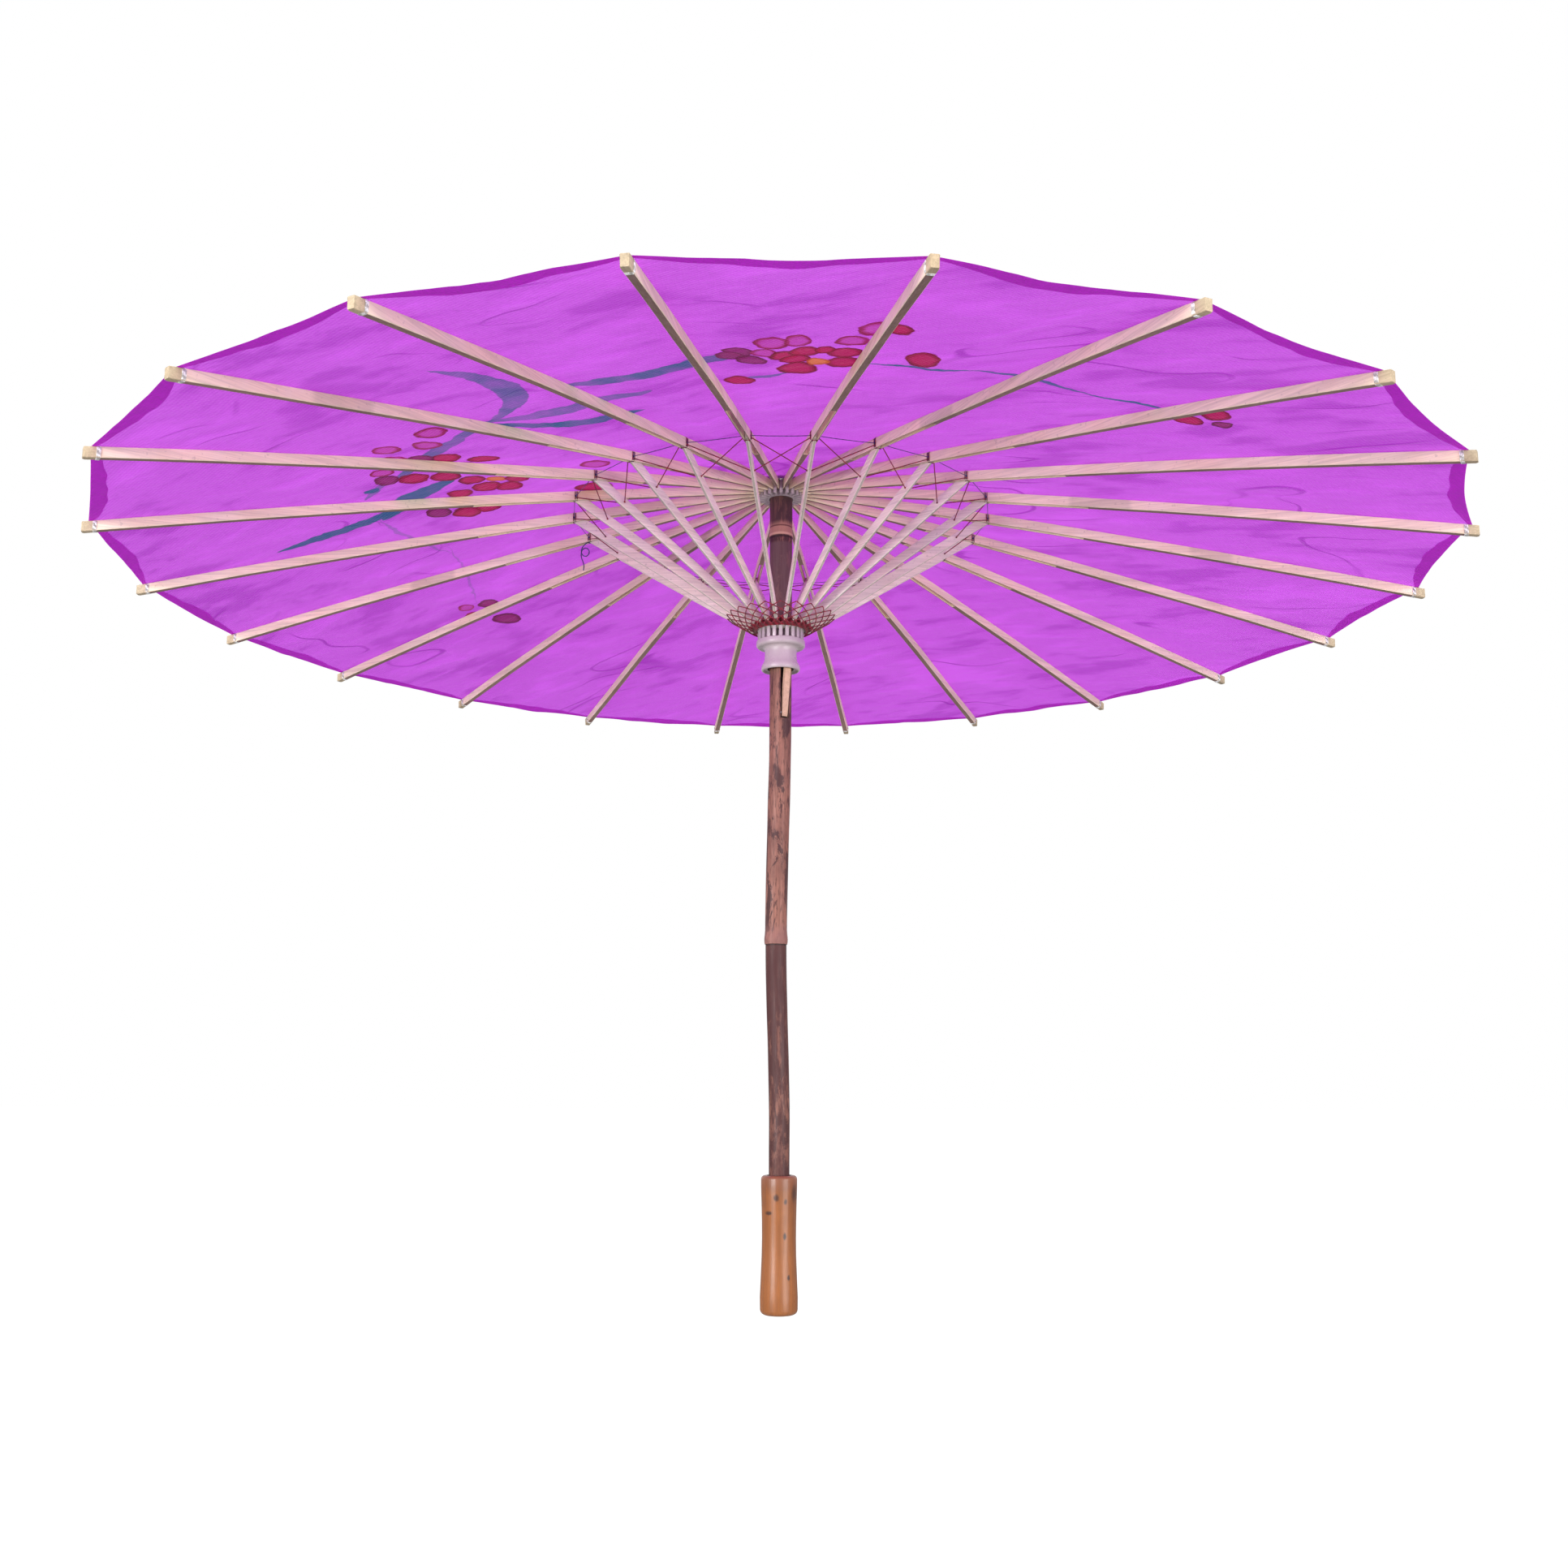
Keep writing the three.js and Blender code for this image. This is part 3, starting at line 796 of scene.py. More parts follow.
def plastic_material():
    """Moulded off-white plastic, faintly uneven, with dust in it."""
    material, t, out = new_material("Off-white plastic")
    c = colours()
    tone = t.group(wear_group(), Vector=t.place(), Scale=120.0)
    base = t.mix(t.math("MULTIPLY", tone["Tone"], 0.4), bright(c.plastic, 1.1), bright(c.plastic, 0.82))
    base = t.mix(t.math("MULTIPLY", tone["Speck"], 0.25), base, (0.25, 0.2, 0.2))
    principled(
        t,
        out,
        Base_Color=base,
        Roughness=t.math("ADD", 0.22, t.math("MULTIPLY", tone["Tone"], 0.14)),
        Specular_IOR_Level=0.5,
        Normal=bump(t, tone["Tone"], 0.06, 0.0004),
    )
    return material


def thread_material(name, base, twist=2600.0):
    """Spun thread, with its twist as fine slanting lines."""
    material, t, out = new_material(name)
    place = t.place()
    slant = t.mapping(place, (1, 1, 1), (0.6, 0.7, 0.5))
    across = t.add("ShaderNodeSeparateXYZ", inputs={0: slant}).outputs[0]
    wave = t.math("SINE", t.math("MULTIPLY", across, twist))
    fuzz = t.noise(place, 1500.0, 2.0)
    shade = t.math("ADD", t.math("MULTIPLY", wave, 0.18), fuzz)
    principled(
        t,
        out,
        Base_Color=t.mix(t.ramp(shade, 0.25, 0.8), bright(base, 0.55), bright(base, 1.7)),
        Roughness=t.math("ADD", 0.6, t.math("MULTIPLY", fuzz, 0.3)),
        Sheen_Weight=0.2,
        Normal=bump(t, wave, 0.4, 0.0002),
    )
    return material


def metal_material(name, base):
    """Thin drawn wire, slightly dulled."""
    material, t, out = new_material(name)
    tone = t.group(wear_group(), Vector=t.place(), Scale=200.0)
    principled(
        t,
        out,
        Base_Color=t.mix(tone["Tone"], bright(base, 1.1), bright(base, 0.6)),
        Metallic=0.9,
        Roughness=t.math("ADD", 0.3, t.math("MULTIPLY", tone["Tone"], 0.25)),
        Normal=bump(t, tone["Speck"], 0.1, 0.0002),
    )
    return material


# ---- the painting: places on the cloth in millimetres from the shaft, seen from above ----
# blossom petals: x, y, turn in degrees, half length, half width, colour
RED, PINK, DUSK, AMBER = "red", "pink", "dusk", "amber"
UPPER_BLOSSOM = (
    (-4, -299, 0, 8, 9, PINK),
    (8, -301, 0, 7, 9, PINK),
    (33, -300, 0, 8.5, 8, PINK),
    (44, -318, 20, 9, 11, PINK),
    (54, -318, -20, 6, 8, RED),
    (-20, -284, 20, 8, 7, DUSK),
    (-24, -277, -10, 8, 6, DUSK),
    (-14, -272, 0, 8, 8, DUSK),
    (-8, -285, 0, 6, 6, PINK),
    (2, -280, 30, 8, 8, RED),
    (12, -284, -20, 8, 8, RED),
    (7, -272, 10, 8, 7, RED),
    (31, -281, 0, 9, 8, RED),
    (30, -266, 0, 9, 9, RED),
    (21, -286, 0, 5, 6, RED),
    (8, -256, 0, 10, 11, RED),
    (18, -267, 0, 5.5, 6, AMBER),
    (68, -275, 0, 8.5, 11, RED),
    (-21, -234, 0, 8, 8, RED),
)
SIDE_BLOSSOM = (
    (-189, -181, 0, 9, 8, PINK),
    (-196, -160, 0, 9, 8, PINK),
    (-219, -158, 0, 8.5, 7, PINK),
    (-220, -138, 0, 8.5, 7, PINK),
    (-231, -121, 0, 7, 6, PINK),
    (-192, -131, 0, 9, 9, RED),
    (-205, -134, 0, 8, 8, DUSK),
    (-172, -122, 0, 9, 7, RED),
    (-231, -108, 0, 7, 8, DUSK),
    (-216, -104, 0, 9, 9, RED),
    (-198, -101, 0, 9, 9, RED),
    (-186, -112, 0, 8, 8, RED),
    (-186, -88, 0, 9, 8, RED),
    (-172, -84, 0, 6, 6, AMBER),
    (-160, -80, 0, 8, 8, RED),
    (-180, -72, 0, 9, 8, RED),
    (-167, -67, 0, 8, 8, RED),
    (-197, -66, 0, 8, 8, RED),
    (-216, -41, 0, 8, 8, DUSK),
    (-200, -34, 0, 9, 9, RED),
    (-186, -38, 0, 8, 8, RED),
)
SMALL_BLOSSOM = (
    (-112, -88, 24, 9, 8, PINK),
    (-118, -44, 10, 12, 9, RED),
    (-234, 136, 30, 6, 6, PINK),
    (-218, 134, 20, 7, 7, DUSK),
    (-231, 152, 30, 7, 6, RED),
    (-209, 164, 5, 11, 9, DUSK),
    (211, -214, 10, 8, 6, RED),
    (222, -226, 0, 8, 7, RED),
    (229, -214, 20, 6, 5, DUSK),
)
# strokes: start, end, bend to the left of the way, half width, strength
STROKES = (
    (-118, -232, -10, -288, 7, 6, 0.75),
    (-20, -237, 4, -248, 0, 2.4, 0.6),
    (38, -264, 96, -262, 0, 1.9, 0.9),
    (92, -262, 156, -240, -2, 2.1, 0.9),
    (150, -241, 208, -220, -1, 1.8, 0.85),
    (-168, -280, -158, -184, -27, 7.5, 0.65),
    (-164, -184, -66, -226, 8, 6, 0.6),
    (-164, -182, -72, -186, 13, 6, 0.85),
    (-158, -184, -228, -102, 3, 5, 0.7),
    (-226, -112, -252, -78, 2, 3, 0.6),
    (-196, -94, -250, -44, 3, 8, 1.0),
    (-226, -64, -326, -16, -2, 4.5, 1.0),
    (-252, -48, -224, 34, 6, 2, 0.35),
    (-224, 20, -226, 132, -3, 1.4, 0.3),
    (-249, -92, -238, -99, 0, 3.4, 1.0),
)


def near_rib(i, x, y, reach):
    """True if a motif at x, y, reaching that far, can show on rib i's part of the cloth."""
    off = (math.atan2(y, x) - rib_angle(i) + math.pi) % (2 * math.pi) - math.pi
    r = math.hypot(x, y)
    return abs(off) < STEP / 2 + reach / r


def paint_cloth(t, where, base, i):
    """Lays the motifs that reach rib i's part of the cloth over its colour. Returns colour and paint."""
    c = colours()
    tints = {
        RED: (tuple(c.petal), (0.13, 0.0, 0.018)),
        PINK: ((0.42, 0.02, 0.20), (0.20, 0.003, 0.04)),
        DUSK: ((0.24, 0.012, 0.13), (0.10, 0.002, 0.04)),
        AMBER: ((0.62, 0.15, 0.03), (0.38, 0.03, 0.02)),
    }
    wet = t.noise(where, 55.0, 4.0, 0.6)
    laid = 0.0
    for x0, y0, x1, y1, bend, half, strength in STROKES:
        middle = ((x0 + x1) / 2, (y0 + y1) / 2)
        length = math.hypot(x1 - x0, y1 - y0)
        if not near_rib(i, *middle, length / 2 + half):
            continue
        stroke = t.group(
            stroke_group(),
            Vector=where,
            Start=(x0 * MM, y0 * MM, 0),
            Turn=-math.atan2(y1 - y0, x1 - x0),
            Length=length * MM,
            Bend=bend * MM,
            Half_width=half * MM,
        )
        soaked = t.ramp(wet, 0.3, 0.65, strength * 0.9, min(1.0, strength * 1.25))
        share = t.math("MULTIPLY", stroke["Paint"], soaked)
        edge = t.math("MULTIPLY", t.ramp(stroke["Paint"], 0.98, 0.4), 0.5)
        base = t.mix(share, base, t.mix(edge, c.leaf, bright(c.leaf, 0.4)))
        laid = t.math("MAXIMUM", laid, share)
    for x, y, turn, half_length, half_width, tint in UPPER_BLOSSOM + SIDE_BLOSSOM + SMALL_BLOSSOM:
        if not near_rib(i, x, y, half_length + 3):
            continue
        dab = t.group(
            dab_group(),
            Vector=where,
            Centre=(x * MM, y * MM, 0),
            Turn=-math.radians(turn),
            Half_length=half_length * MM,
            Half_width=half_width * MM,
        )
        inner, rim = tints[tint]
        body = t.mix(t.math("MULTIPLY", dab["Rim"], t.ramp(wet, 0.25, 0.7, 0.6, 1.0)), inner, rim)
        thin = 0.6 if tint == PINK else 1.1
        wet_rim = t.math("ADD", wet, dab["Rim"])
        cover = t.math("MULTIPLY", dab["Paint"], t.ramp(wet_rim, 0.3, 1.3, thin * 0.85, 0.98))
        base = t.mix(cover, base, body)
        laid = t.math("MAXIMUM", laid, cover)
    return base, laid


def cloth_material(i):
    """Thin dyed cloth for rib i's part of the canopy: lit from both sides, painted and wrinkled."""
    material, t, out = new_material(f"Painted cloth {i:02d}")
    c = colours()
    flat = t.add("ShaderNodeUVMap", uv_map="cloth").outputs[0]
    where = t.mapping(flat, (1, 1, 1), (0, 0, 0), (-0.5, -0.5, 0))
    weave = t.group(weave_group(), Vector=where, Threads=2400.0)
    folds = t.group(fold_group(), Vector=where, Turn=0.5)
    base = t.mix(t.math("MULTIPLY", weave["Slub"], 0.22), tuple(c.cloth), bright(c.cloth, 1.35))
    # Painted shade in the folds, a painted highlight on them, and painted shade along the pleats.
    base = t.mix(t.math("MULTIPLY", folds["Shade"], 0.55), base, c.cloth_fold_painted_shade)
    base = t.mix(t.math("MULTIPLY", folds["Shine"], 0.35), base, bright(c.cloth, 1.4))
    base = t.mix(t.math("MULTIPLY", folds["Pleat"], 0.8), base, c.cloth_fold_painted_shade)
    shaken = t.group(shake_group(), Vector=where)["Vector"]
    painted, laid = paint_cloth(t, shaken, base, i)
    relief = t.math("ADD", t.math("MULTIPLY", weave["Height"], 0.16), folds["Height"])
    normal = bump(t, relief, 0.7, 0.0022)
    front = t.add(
        "ShaderNodeBsdfPrincipled",
        inputs={
            "Base Color": painted,
            "Roughness": t.math("SUBTRACT", 0.82, t.math("MULTIPLY", laid, 0.15)),
            "Specular IOR Level": 0.2,
            "Sheen Weight": 0.25,
            "Sheen Roughness": 0.4,
            "Normal": normal,
        },
    )
    through = t.add("ShaderNodeBsdfTranslucent", inputs={"Color": painted, "Normal": normal})
    both = t.add("ShaderNodeMixShader", inputs={0: 0.55, 1: front.outputs[0], 2: through.outputs[0]})
    t.put(out.inputs["Surface"], both.outputs[0])
    return material


def hem_material(name, dye):
    """Doubled cloth, for the hem and for the patch on top."""
    material, t, out = new_material(name)
    flat = t.add("ShaderNodeUVMap", uv_map="cloth").outputs[0]
    where = t.mapping(flat, (1, 1, 1), (0, 0, 0), (-0.5, -0.5, 0))
    weave = t.group(weave_group(), Vector=where, Threads=2400.0)
    base = t.mix(t.math("MULTIPLY", weave["Slub"], 0.35), bright(dye, 0.8), bright(dye, 1.2))
    normal = bump(t, weave["Height"], 0.3, 0.0004)
    front = t.add(
        "ShaderNodeBsdfPrincipled",
        inputs={
            "Base Color": base,
            "Roughness": t.ramp(weave["Slub"], 0.0, 1.0, 0.75, 0.9),
            "Normal": normal,
        },
    )
    through = t.add("ShaderNodeBsdfTranslucent", inputs={"Color": base, "Normal": normal})
    both = t.add("ShaderNodeMixShader", inputs={0: 0.25, 1: front.outputs[0], 2: through.outputs[0]})
    t.put(out.inputs["Surface"], both.outputs[0])
    return material


MADE = {}


def material_for(key, make, *values):
    """Makes a material the first time it is asked for."""
    if key not in MADE:
        MADE[key] = make(*values)
    return MADE[key]


def plastic():
    return material_for("plastic", plastic_material)


def red_thread():
    return material_for("red", thread_material, "Red thread", tuple(colours().red_thread))


def blue_thread():
    return material_for("blue", thread_material, "Blue thread", tuple(colours().blue_thread))


def white_thread():
    return material_for("white", thread_material, "White thread", (0.75, 0.72, 0.66))


# ---- the stage and the pieces ----


class PARASOL_OT_stage(bpy.types.Operator):
    """Camera, lights and a pale floor"""

    bl_idname = "parasol.stage"
    bl_label = "Stage"

    def execute(self, context):
        scene = context.scene
        scene.view_settings.view_transform = "Standard"
        lens = bpy.data.cameras.new("View")
        lens.sensor_width = 36
        lens.lens = 35
        lens.clip_end = 100
        camera = bpy.data.objects.new("View", lens)
        camera.location = (0.0018, -0.9556, HUB_Z - 0.3754)
        lift, roll, turn = (math.radians(angle) for angle in (100.584, 0.1423, -0.0335))
        lifted = Matrix.Rotation(lift, 3, "X") @ Matrix.Rotation(roll, 3, "Z")
        camera.rotation_euler = (Matrix.Rotation(turn, 3, "Z") @ lifted).to_euler()
        scene.collection.objects.link(camera)
        scene.camera = camera
        world = bpy.data.worlds.new("Soft white room")
        world.use_nodes = True
        t = Tree(world.node_tree)
        sky = t.add("ShaderNodeTexCoord").outputs["Generated"]
        way = t.add("ShaderNodeSeparateXYZ", inputs={0: sky}).outputs[2]
        soft = t.ramp(way, -0.5, 0.1, 0.3, 0.85)
        seen = t.add("ShaderNodeLightPath").outputs["Is Camera Ray"]
        t.put(world.node_tree.nodes["Background"].inputs[1], t.math("MAXIMUM", soft, seen))
        world.node_tree.nodes["Background"].inputs[0].default_value = (1, 1, 1, 1)
        scene.world = world
        self.lamp(scene, "Key", (-1.6, -2.0, 0.45), 58, 1.2)
        self.lamp(scene, "Overhead", (0.3, 0.3, 2.4), 30, 1.8)
        self.lamp(scene, "Fill from the front", (1.7, -1.9, 0.3), 44, 1.6)
        self.floor(scene)
        return {"FINISHED"}

    def lamp(self, scene, name, place, power, size):
        light = bpy.data.lights.new(name, "AREA")
        light.energy = power
        light.size = size
        lamp = bpy.data.objects.new(name, light)
        lamp.location = place
        aim = Vector((0, 0, 0.42)) - Vector(place)
        lamp.rotation_euler = aim.to_track_quat("-Z", "Y").to_euler()
        scene.collection.objects.link(lamp)

    def floor(self, scene):
        bm = bmesh.new()
        bmesh.ops.create_grid(bm, x_segments=2, y_segments=2, size=40)
        bmesh.ops.translate(bm, verts=bm.verts, vec=(0, 0, -0.9))
        mesh = bpy.data.meshes.new("Floor")
        bm.to_mesh(mesh)
        bm.free()
        floor = bpy.data.objects.new("Floor", mesh)
        scene.collection.objects.link(floor)
        material, t, out = new_material("Pale floor")
        principled(
            t,
            out,
            Base_Color=(0.35, 0.35, 0.35),
            Roughness=1.0,
            Specular_IOR_Level=0.0,
            Emission_Color=(1, 1, 1),
            Emission_Strength=t.math("MULTIPLY", t.add("ShaderNodeLightPath").outputs["Is Camera Ray"], 0.8),
        )
        mesh.materials.append(material)


class PARASOL_OT_loose_thread(bpy.types.Operator):
    """The loose end of a blue thread, hanging from one joint"""

    bl_idname = "parasol.loose_thread"
    bl_label = "Loose thread"

    RIB = 16
    ROUTE = (
        (0, 0, -3.6),
        (1.2, 2.7, -4.4),
        (3.2, 3.4, -6.4),
        (4.6, 3.6, -9),
        (4.4, 3.8, -11.8),
        (2.8, 4, -13.8),
        (0.6, 4.2, -14.4),
        (-1.2, 4.4, -13),
        (-1.4, 4.6, -10.8),
        (0, 4.8, -9.2),
        (2, 5, -9),
        (3.6, 5.2, -10.6),
        (4, 5.4, -13.4),
        (3.4, 5.6, -16.2),
        (2.2, 5.8, -19),
        (1.4, 6, -22),
        (1.6, 6.2, -25),
    )

    def execute(self, context):
        a = rib_angle(self.RIB)
        points = []
        for along, across, up in self.ROUTE:
            r = JOINT_R + along * MM
            s = across * MM
            x = r * math.cos(a) - s * math.sin(a)
            y = r * math.sin(a) + s * math.cos(a)
            points.append(Vector((x, y, JOINT_Z + up * MM)))
        bm = bmesh.new()
        fine = smooth_route(points, 4)
        add_tube(bm, fine, 0.36 * MM, 7)
        body = f"rib_{self.RIB:02d}"
        piece = finish_piece("loose_thread", bm, blue_thread(), body, ("thread_tail",))
        return {"FINISHED"}


def smooth_route(points, between):
    """Points of a smooth curve through the given ones."""
    ends = [points[0] * 2 - points[1]] + list(points) + [points[-1] * 2 - points[-2]]
    route = []
    for a, b, c, d in zip(ends, ends[1:], ends[2:], ends[3:]):
        for step in range(between):
            t = step / between
            square = (2 * a - 5 * b + 4 * c - d) * t**2
            cube = (3 * b - a - 3 * c + d) * t**3
            route.append(0.5 * (2 * b + (c - a) * t + square + cube))
    route.append(points[-1])
    return route


class PARASOL_OT_shaft(bpy.types.Operator):
    """Tapering cane with two ring nodes, grooves and the catch's slot"""

    bl_idname = "parasol.shaft"
    bl_label = "Shaft"

    def radius(self, z):
        taper = (6.6 + 0.9 * (z - 0.04) / (HUB_Z - 0.04)) * MM
        lower = 0.55 * MM * math.exp(-(((z - LOWER_NODE_Z - 0.003) / 0.0035) ** 2))
        if z < LOWER_NODE_Z:
            lower = -0.25 * MM
        upper = 0.45 * MM * math.exp(-(((z - UPPER_NODE_Z) / 0.0025) ** 2))
        nick = 0.3 * MM * math.exp(-(((z - UPPER_NODE_Z + 0.0012) / 0.0009) ** 2))
        return taper + lower + upper - nick

    def shift(self, z):
        half = 0.11 if z < LOWER_NODE_Z else 0.15
        away = min(1, abs(z - LOWER_NODE_Z) / half)
        return -SHAFT_KINK * (1 - away * away * (3 - 2 * away))

    def execute(self, context):
        sides = sizes().cane_sides
        levels = {SHAFT_LOW + (SHAFT_TOP - SHAFT_LOW) * k / 90 for k in range(91)}
        round_a_node = (-9, -6, -4, -2.5, -1.2, -0.4, -0.02, 0.1, 0.8, 1.8, 3, 4.5, 6, 9)
        for node in (LOWER_NODE_Z, UPPER_NODE_Z):
            levels |= {node + k * MM for k in round_a_node}
        slot_low = HUB_Z - 155 * MM
        slot_high = HUB_Z - 119.4 * MM
        levels |= {slot_low, slot_high}
        wall = [(self.radius(min(z, HUB_Z)), z) for z in sorted(levels)]
        profile = [(0, SHAFT_LOW)] + wall + [(0, SHAFT_TOP)]
        bm = bmesh.new()
        spin_profile(bm, profile, sides)
        opened = []
        for face in bm.faces:
            middle = face.calc_center_median()
            off = (math.atan2(middle.y, middle.x) - CATCH_ANGLE + math.pi) % (2 * math.pi) - math.pi
            if slot_low < middle.z < slot_high and -3.6 < off * 7 < 2.4 and middle.xy.length > 4 * MM:
                opened.append(face)
        result = bmesh.ops.extrude_face_region(bm, geom=opened)
        moved = [g for g in result["geom"] if isinstance(g, bmesh.types.BMVert)]
        bmesh.ops.delete(bm, geom=opened, context="FACES")
        # The slot's walls and floor take the second material, almost black, as painted shade.
        for face in {face for vert in moved for face in vert.link_faces}:
            face.material_index = 1
        inward = Vector((math.cos(CATCH_ANGLE), math.sin(CATCH_ANGLE), 0)) * -5.4 * MM
        bmesh.ops.translate(bm, verts=moved, vec=inward)
        for vert in bm.verts:
            x, y, z = vert.co
            r = math.hypot(x, y)
            if r > 5 * MM:
                turn = math.atan2(y, x)
                groove = 0.16 * MM * wobble(math.cos(turn) * 3, math.sin(turn) * 3, z * 9)
                lump = 0.12 * MM * wobble(math.cos(turn), math.sin(turn), z * 40)
                inside = min(1.0, (SHAFT_TOP - 0.03 - z) / 0.02) if z > SHAFT_TOP - 0.05 else 1.0
                scale = 1 + (groove + lump - 0.12 * MM) * max(0, inside) / r
                vert.co.x, vert.co.y = x * scale, y * scale
            vert.co.x += self.shift(z)
        # Painted shade: the inside of the slot is coloured almost black to stand in for the shade within it.
        inside = slat_material("Slot painted shade", (0.06, 0.032, 0.026), 1)
        finish_piece("cane_shaft", bm, [cane_material(), inside], "frame", ("shaft",), angle=35)
        return {"FINISHED"}


class PARASOL_OT_handle(bpy.types.Operator):
    """Turned, waisted wooden handle"""

    bl_idname = "parasol.handle"
    bl_label = "Handle"

    OUTLINE = ((11.5, 10), (11.2, 17), (10.9, 24), (10.5, 34), (10.35, 44), (10.45, 54), (10.7, 64), (11, 74))

    def execute(self, context):
        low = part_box("handle")[0].z
        points = [(0, 0), (3, 0), (6.5, 0), (8.2, 0)]
        points += arc_points(8.2, 3.2, 3.2, -math.pi / 2, 0, 8)[1:]
        points += list(self.OUTLINE)
        points += arc_points(8.8, 78.8, 2.2, 0, math.pi / 2, 6)
        points += [(7.6, 81), (7.6, 60), (0, 60)]
        bm = bmesh.new()
        spin_profile(bm, [(r * MM, low + z * MM) for r, z in points], 72)
        for vert in bm.verts:
            r = vert.co.xy.length
            if r > 9 * MM:
                ripple = 0.1 * MM * (wobble(vert.co.x * 60, vert.co.y * 60, vert.co.z * 30) - 0.6)
                vert.co.x *= 1 + ripple / r
                vert.co.y *= 1 + ripple / r
        wood = material_for("handle wood", handle_material)
        finish_piece("turned_handle", bm, wood, "frame", ("handle",), angle=50)
        return {"FINISHED"}


def slotted_ring(bm, inner, outer, low, high, slot):
    """Teeth with open slots between them, one slot on each rib's line."""
    middle = (inner + outer) / 2
    for i in range(RIBS):
        a = rib_angle(i) + STEP / 2
        place = Matrix.Rotation(a, 4, "Z") @ Matrix.Translation((middle, 0, (low + high) / 2))
        made = add_block(bm, (outer - inner, 1.0 * MM, high - low), place)
        for vert in made:
            r = vert.co.xy.length
            away = math.atan2(vert.co.y, vert.co.x) - a
            away = (away + math.pi) % (2 * math.pi) - math.pi
            radius = inner if r * math.cos(away) < middle else outer
            half = STEP / 2 - math.asin(slot / 2 / radius)
            side = math.copysign(half, away)
            vert.co.x = radius * math.cos(a + side)
            vert.co.y = radius * math.sin(a + side)
        edges = list({e for v in made for e in v.link_edges})
        bmesh.ops.bevel(
            bm,
            geom=edges,
            offset=0.22 * MM,
            segments=2,
            profile=0.5,
            affect="EDGES",
            material=-1,
            clamp_overlap=True,
        )


class PARASOL_OT_hub(bpy.types.Operator):
    """Slotted plastic hub with its ring of wire and its peg"""

    bl_idname = "parasol.hub"
    bl_label = "Hub"

    def execute(self, context):
        low, high = (corner.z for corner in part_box("hub"))
        flange = HUB_Z + 3.6 * MM
        points = [(7.9 * MM, low), (9.05 * MM, low), (9.05 * MM, flange), (14.1 * MM, flange)]
        points += arc_points(13.6 * MM, flange + 0.6 * MM, 0.6 * MM, -math.pi / 2, 0, 3)[1:]
        points += arc_points(13.2 * MM, high - 1.2 * MM, 1.2 * MM, 0, math.pi / 2, 5)
        points += [(7.9 * MM, high)]
        bm = bmesh.new()
        spin_profile(bm, points, 88, close=True)
        slotted_ring(bm, 8.9 * MM, 14.4 * MM, low, flange + 0.2 * MM, 2 * MM)
        finish_piece("slotted_hub", bm, plastic(), "frame", ("hub",), angle=35)
        wire = material_for("wire", metal_material, "Drawn wire", (0.55, 0.55, 0.57))
        for name in ("hub_wire", "runner_wire", "catch_pin"):
            dress_node(name, wire)
        dress_node("hub_pin", material_for("peg", slat_material, "Peg wood", (0.62, 0.4, 0.28), 3))
        return {"FINISHED"}


def dress_node(name, material):
    """Gives a carried-over CAD node its material."""
    node = frame["nodes"][name]
    node.data.materials.clear()
    node.data.materials.append(material)


class PARASOL_OT_runner(bpy.types.Operator):
    """Sliding runner: slotted crown, rounded collar, waist and flared foot"""

    bl_idname = "parasol.runner"
    bl_label = "Runner"

    def execute(self, context):
        low, high = (corner.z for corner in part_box("runner"))
        bore = 8.6
        points = [(bore, 1.5), (10.4, 1.5), (10.9, 0.7), (11.3, 0.2)]
        points += arc_points(11.3, 1.4, 1.2, -math.pi / 2, -0.2, 5)[1:]
        points += [(12.5, 2.6), (12.35, 3.4), (11.7, 4.6), (11, 6), (10.55, 7.6), (10.35, 9.6), (10.25, 12)]
        points += [(10.4, 14.2), (10.9, 15.2), (12.2, 15.7)]
        points += arc_points(14, 17.4, 1.8, -math.pi / 2, 0, 6)
        points += arc_points(15.1, 19.4, 0.7, 0, math.pi / 2, 4)
        points += [(14.4, 20.4), (9.55, 20.5), (9.55, 30.5), (bore, 30.5)]
        bm = bmesh.new()
        spin_profile(bm, [(r * MM, low + z * MM) for r, z in points], 88, close=True)
        slotted_ring(bm, 9.4 * MM, 15 * MM, low + 19.8 * MM, high, 1.9 * MM)
        finish_piece("plastic_runner", bm, plastic(), "runner", ("runner",), angle=50)
        return {"FINISHED"}


class PARASOL_OT_catch(bpy.types.Operator):
    """Cane strip that springs out of the shaft under the runner"""

    bl_idname = "parasol.catch"
    bl_label = "Catch"

    def execute(self, context):
        dress_node("catch", material_for("catch", slat_material, "Catch cane", (0.58, 0.37, 0.26), 2))
        return {"FINISHED"}


